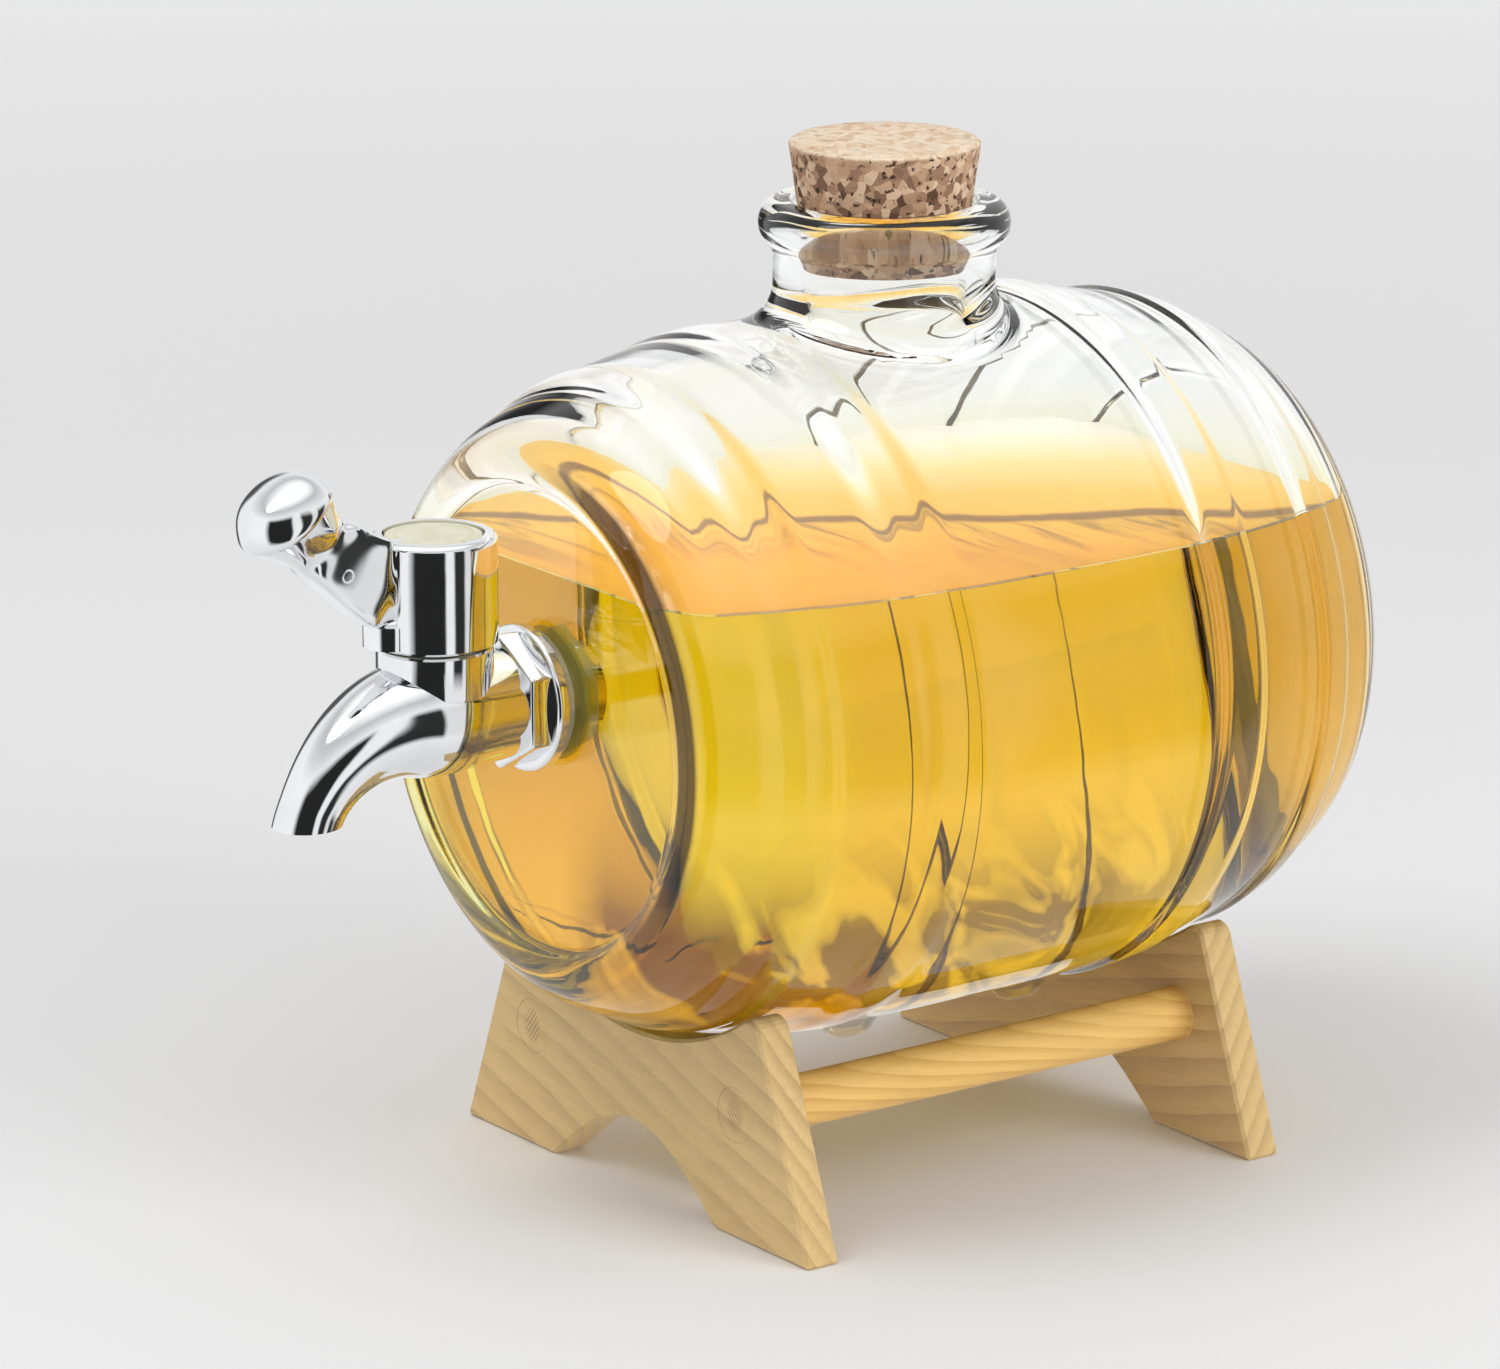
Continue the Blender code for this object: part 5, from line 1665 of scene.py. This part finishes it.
@dataclass
class CapDisc:
    """The ivory disc let into the top of the handle's cap, with a soft edge and a shallow ring."""

    radius: float = 0.0075
    thickness: float = 0.0012
    top: float = 0.0283
    ring: tuple[tuple[float, float], ...] = (
        (0.0062, 0.0), (0.0061, 0.00015), (0.0058, 0.00015), (0.0057, 0.0))

    def build(self) -> bpy.types.Object:
        """Build the disc and return it.

        Returns:
            The dressed piece.
        """
        low = self.top - self.thickness
        profile = [(self.radius, low), (self.radius, self.top - 0.0003),
                   (self.radius - 0.0001, self.top - 0.0001), (self.radius - 0.0004, self.top)]
        profile += [(radius, self.top - down) for radius, down in self.ring] + [(0.002, self.top)]
        disc = Bench.place(Bench.turned("cap_disc_ivory", profile, 96), (0.0, VALVE_Y, TAP_Z))
        Bench.smooth(disc, 30.0)
        return Bench.finish(disc, Body.HANDLE, Plastic().material(), "ivory_plastic", "cap_disc")


@dataclass
class Cradle:
    """The cradle's two smooth dowels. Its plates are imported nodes, which dress_nodes gives their grain."""

    dowel_radius: float = 0.0042
    tight_radius: float = 0.00448
    tight_length: float = 0.0061
    dowel_spacing: float = 0.055
    dowel_height: float = 0.020
    dowel_edge: float = 0.0002
    length: float = 0.0936
    middle: float = 0.0239

    def build(self) -> list[bpy.types.Object]:
        """Build one dowel, copy it for the other side and dress both.

        Returns:
            Both dressed dowels.
        """
        edge = self.dowel_edge
        end = [(self.tight_radius - edge, 0.0), (self.tight_radius - edge / 4, edge / 4),
               (self.tight_radius, edge), (self.tight_radius, self.tight_length),
               (self.dowel_radius, self.tight_length + edge)]
        profile = end + [(radius, self.length - height) for radius, height in reversed(end)]
        left = Bench.turned("left_dowel_round", profile, 64)
        right = Bench.copied(left, "right_dowel_round")
        for rod, name, side in ((left, "left_dowel", -1), (right, "right_dowel", 1)):
            spot = (side * self.dowel_spacing / 2, self.middle + self.length / 2, self.dowel_height)
            Bench.place(rod, spot, Facing.FRONT)
            Bench.smooth(rod, 30.0)
            Bench.finish(rod, Body.STAND, DowelWood().material(), "dowel_wood", name)
        return [left, right]


def dress_nodes() -> None:
    """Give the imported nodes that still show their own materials."""
    ivory = Plastic()
    clear = Plastic("clear_nut_look", (0.86, 0.83, 0.60), (0.78, 0.74, 0.50), 0.35, 0.0, 0.45)
    silicone = Plastic("silicone_look", (0.90, 0.88, 0.78), (0.84, 0.82, 0.70), 0.5, 0.0, 0.35)
    rubber = Plastic("black_rubber_look", (0.03, 0.03, 0.03), (0.05, 0.05, 0.05), 0.6, 0.0)
    looks = {"front_trestle": Pine("front_pine_look"),
             "rear_trestle": Pine("rear_pine_look", tilt=(-0.9, 0.14, 0.0)),
             "outer_washer": silicone, "inner_washer": silicone, "thrust_washer": silicone,
             "shank_nut": clear, "gland_nut": ivory, "valve_plug": ivory,
             "upper_o_ring": rubber, "lower_o_ring": rubber, "handle_screw": Steel()}
    for name, look in looks.items():
        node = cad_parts[name]
        node.data.materials.clear()
        node.data.materials.append(look.material())
        LOG.info("dressed %s", name)


@dataclass(frozen=True)
class Lamp:
    """A soft round lamp: where it hangs, its width and power, and whether metal and glass mirror it."""

    name: str
    azimuth: float
    elevation: float
    size: float
    power: float
    mirrored: bool


@dataclass
class Studio:
    """The pale floor, the soft light and the camera."""

    azimuth: float = 54.0
    elevation: float = 15.5
    distance: float = 1.20
    lens: float = 184.0
    aim: tuple[float, float, float] = (0.0, 0.0, 0.0790)
    lamp_distance: float = 1.3
    key: Lamp = Lamp("key", -10.0, 62.0, 0.7, 4.2, True)
    fill: Lamp = Lamp("fill", 112.0, 22.0, 0.8, 6.3, False)
    even: Colour = (0.62, 0.62, 0.63)
    backdrop: Colour = (0.96, 0.96, 0.96)
    floor_shade: Colour = (0.90, 0.90, 0.90)
    floor_fade: tuple[float, float] = (0.5, 1.6)
    panel_edge: tuple[float, float] = (0.34, 0.48)
    sky: tuple[tuple[float, float], ...] = ((0.0, 0.75), (0.30, 0.92), (0.72, 1.0), (0.86, 0.6), (0.95, 1.2))
    through: tuple[tuple[float, float], ...] = (
        (0.0, 0.88), (0.30, 0.90), (0.42, 0.92), (0.50, 1.08), (0.58, 1.12), (0.66, 0.90), (0.80, 1.12),
        (1.0, 1.4))
    panels: tuple[tuple[float, float], ...] = (
        (-180.0, 0.85), (-119.0, 0.85), (-109.0, 0.10), (-93.0, 0.10), (-85.0, 0.95), (9.0, 1.0),
        (23.0, 0.02), (75.0, 0.02), (79.0, 0.95), (91.0, 0.95), (95.0, 0.03), (111.0, 0.03), (115.0, 0.8),
        (124.0, 0.8), (127.0, 0.04), (143.0, 0.04), (153.0, 0.85), (180.0, 0.85))

    def toward(self, azimuth: float, elevation: float) -> Vector:
        """Return the direction from the object to a place at these angles, in degrees."""
        turn, rise = math.radians(azimuth), math.radians(elevation)
        return Vector((math.sin(turn) * math.cos(rise), -math.cos(turn) * math.cos(rise), math.sin(rise)))

    def camera(self) -> None:
        """Place the camera at the photograph's angle."""
        data = bpy.data.cameras.new("view")
        data.lens = self.lens
        data.sensor_width = 36.0
        data.clip_start, data.clip_end = 0.01, 50.0
        view = bpy.data.objects.new("view", data)
        bpy.context.scene.collection.objects.link(view)
        back = self.toward(self.azimuth, self.elevation)
        view.location = Vector(self.aim) + back * self.distance
        view.rotation_euler = (-back).to_track_quat("-Z", "Y").to_euler()
        bpy.context.scene.camera = view

    def floor(self) -> None:
        """Lay a pale round floor that fades into the backdrop."""
        Bench.clear()
        bpy.ops.mesh.primitive_circle_add(vertices=96, radius=4.0, fill_type="NGON",
                                          location=(0.0, 0.0, -0.0001))
        floor = Bench.settle(Bench.named("floor"))
        made = bpy.data.materials.new("pale_floor")
        made.use_nodes = True
        graph = Graph(made.node_tree)
        shader = made.node_tree.nodes["Principled BSDF"]
        shader.inputs["Base Color"].default_value = (*self.floor_shade, 1.0)
        shader.inputs["Roughness"].default_value = 0.75
        shader.inputs["Specular IOR Level"].default_value = 0.2
        away = graph.add("ShaderNodeVectorMath", operation="LENGTH")
        graph.link(graph.coordinates(), away.inputs[0])
        path = graph.add("ShaderNodeLightPath")
        mirrored = graph.maths("MAXIMUM", path.outputs["Is Glossy Ray"], path.outputs["Is Transmission Ray"])
        fade = graph.maths("MAXIMUM", graph.span(away.outputs["Value"], *self.floor_fade), mirrored)
        clear = graph.add("ShaderNodeBsdfTransparent")
        mixed = graph.add("ShaderNodeMixShader")
        graph.link(fade, mixed.inputs[0])
        graph.link(shader.outputs[0], mixed.inputs[1])
        graph.link(clear.outputs[0], mixed.inputs[2])
        graph.link(mixed.outputs[0], made.node_tree.nodes["Material Output"].inputs["Surface"])
        floor.data.materials.append(made)

    def world(self) -> None:
        """Surround the object with an even sky, seen paler behind it and banded in its reflections."""
        world = bpy.data.worlds.new("studio")
        world.use_nodes = True
        bpy.context.scene.world = world
        graph = Graph(world.node_tree)
        path = graph.add("ShaderNodeLightPath")
        x, y, z = graph.split(graph.add("ShaderNodeTexCoord").outputs["Generated"])
        around = graph.maths("ARCTAN2", x, graph.maths("MULTIPLY", y, -1.0))
        stops = [((angle + 180.0) / 360.0, grey) for angle, grey in self.panels]
        panel = graph.greys(graph.span(around, -math.pi, math.pi), stops)
        height = graph.span(z, -1.0, 1.0)
        band = graph.span(graph.maths("ABSOLUTE", z, 0.0), *self.panel_edge)
        mirror = graph.mix(band, panel, graph.greys(height, self.sky))
        seen = graph.mix(path.outputs["Is Glossy Ray"], self.even, mirror)
        seen = graph.mix(path.outputs["Is Transmission Ray"], seen, graph.greys(height, self.through))
        seen = graph.mix(path.outputs["Is Camera Ray"], seen, self.backdrop)
        back = world.node_tree.nodes["Background"]
        graph.link(seen, back.inputs["Color"])

    def lamps(self) -> None:
        """Hang the two soft lamps."""
        for lamp in (self.key, self.fill):
            data = bpy.data.lights.new(lamp.name, "AREA")
            data.shape = "DISK"
            data.size = lamp.size
            data.energy = lamp.power
            hung = bpy.data.objects.new(lamp.name, data)
            hung.visible_glossy = lamp.mirrored
            hung.visible_transmission = False
            bpy.context.scene.collection.objects.link(hung)
            back = self.toward(lamp.azimuth, lamp.elevation)
            hung.location = back * self.lamp_distance
            hung.rotation_euler = (-back).to_track_quat("-Z", "Y").to_euler()

    def build(self) -> None:
        """Set up the whole studio."""
        bpy.context.scene.view_settings.view_transform = "Standard"
        self.camera()
        self.floor()
        self.world()
        self.lamps()


def main() -> None:
    """Build each sub-assembly in order."""
    logging.basicConfig(level=logging.INFO, format="%(name)s: %(message)s")
    shape = BarrelShape()
    GlassBarrel(shape).build()
    DrinkFill(shape).build()
    CorkStopper().build()
    Tap().build()
    Lever().build()
    CapDisc().build()
    Cradle().build()
    dress_nodes()
    Studio().build()


if __name__ == "__main__":
    main()
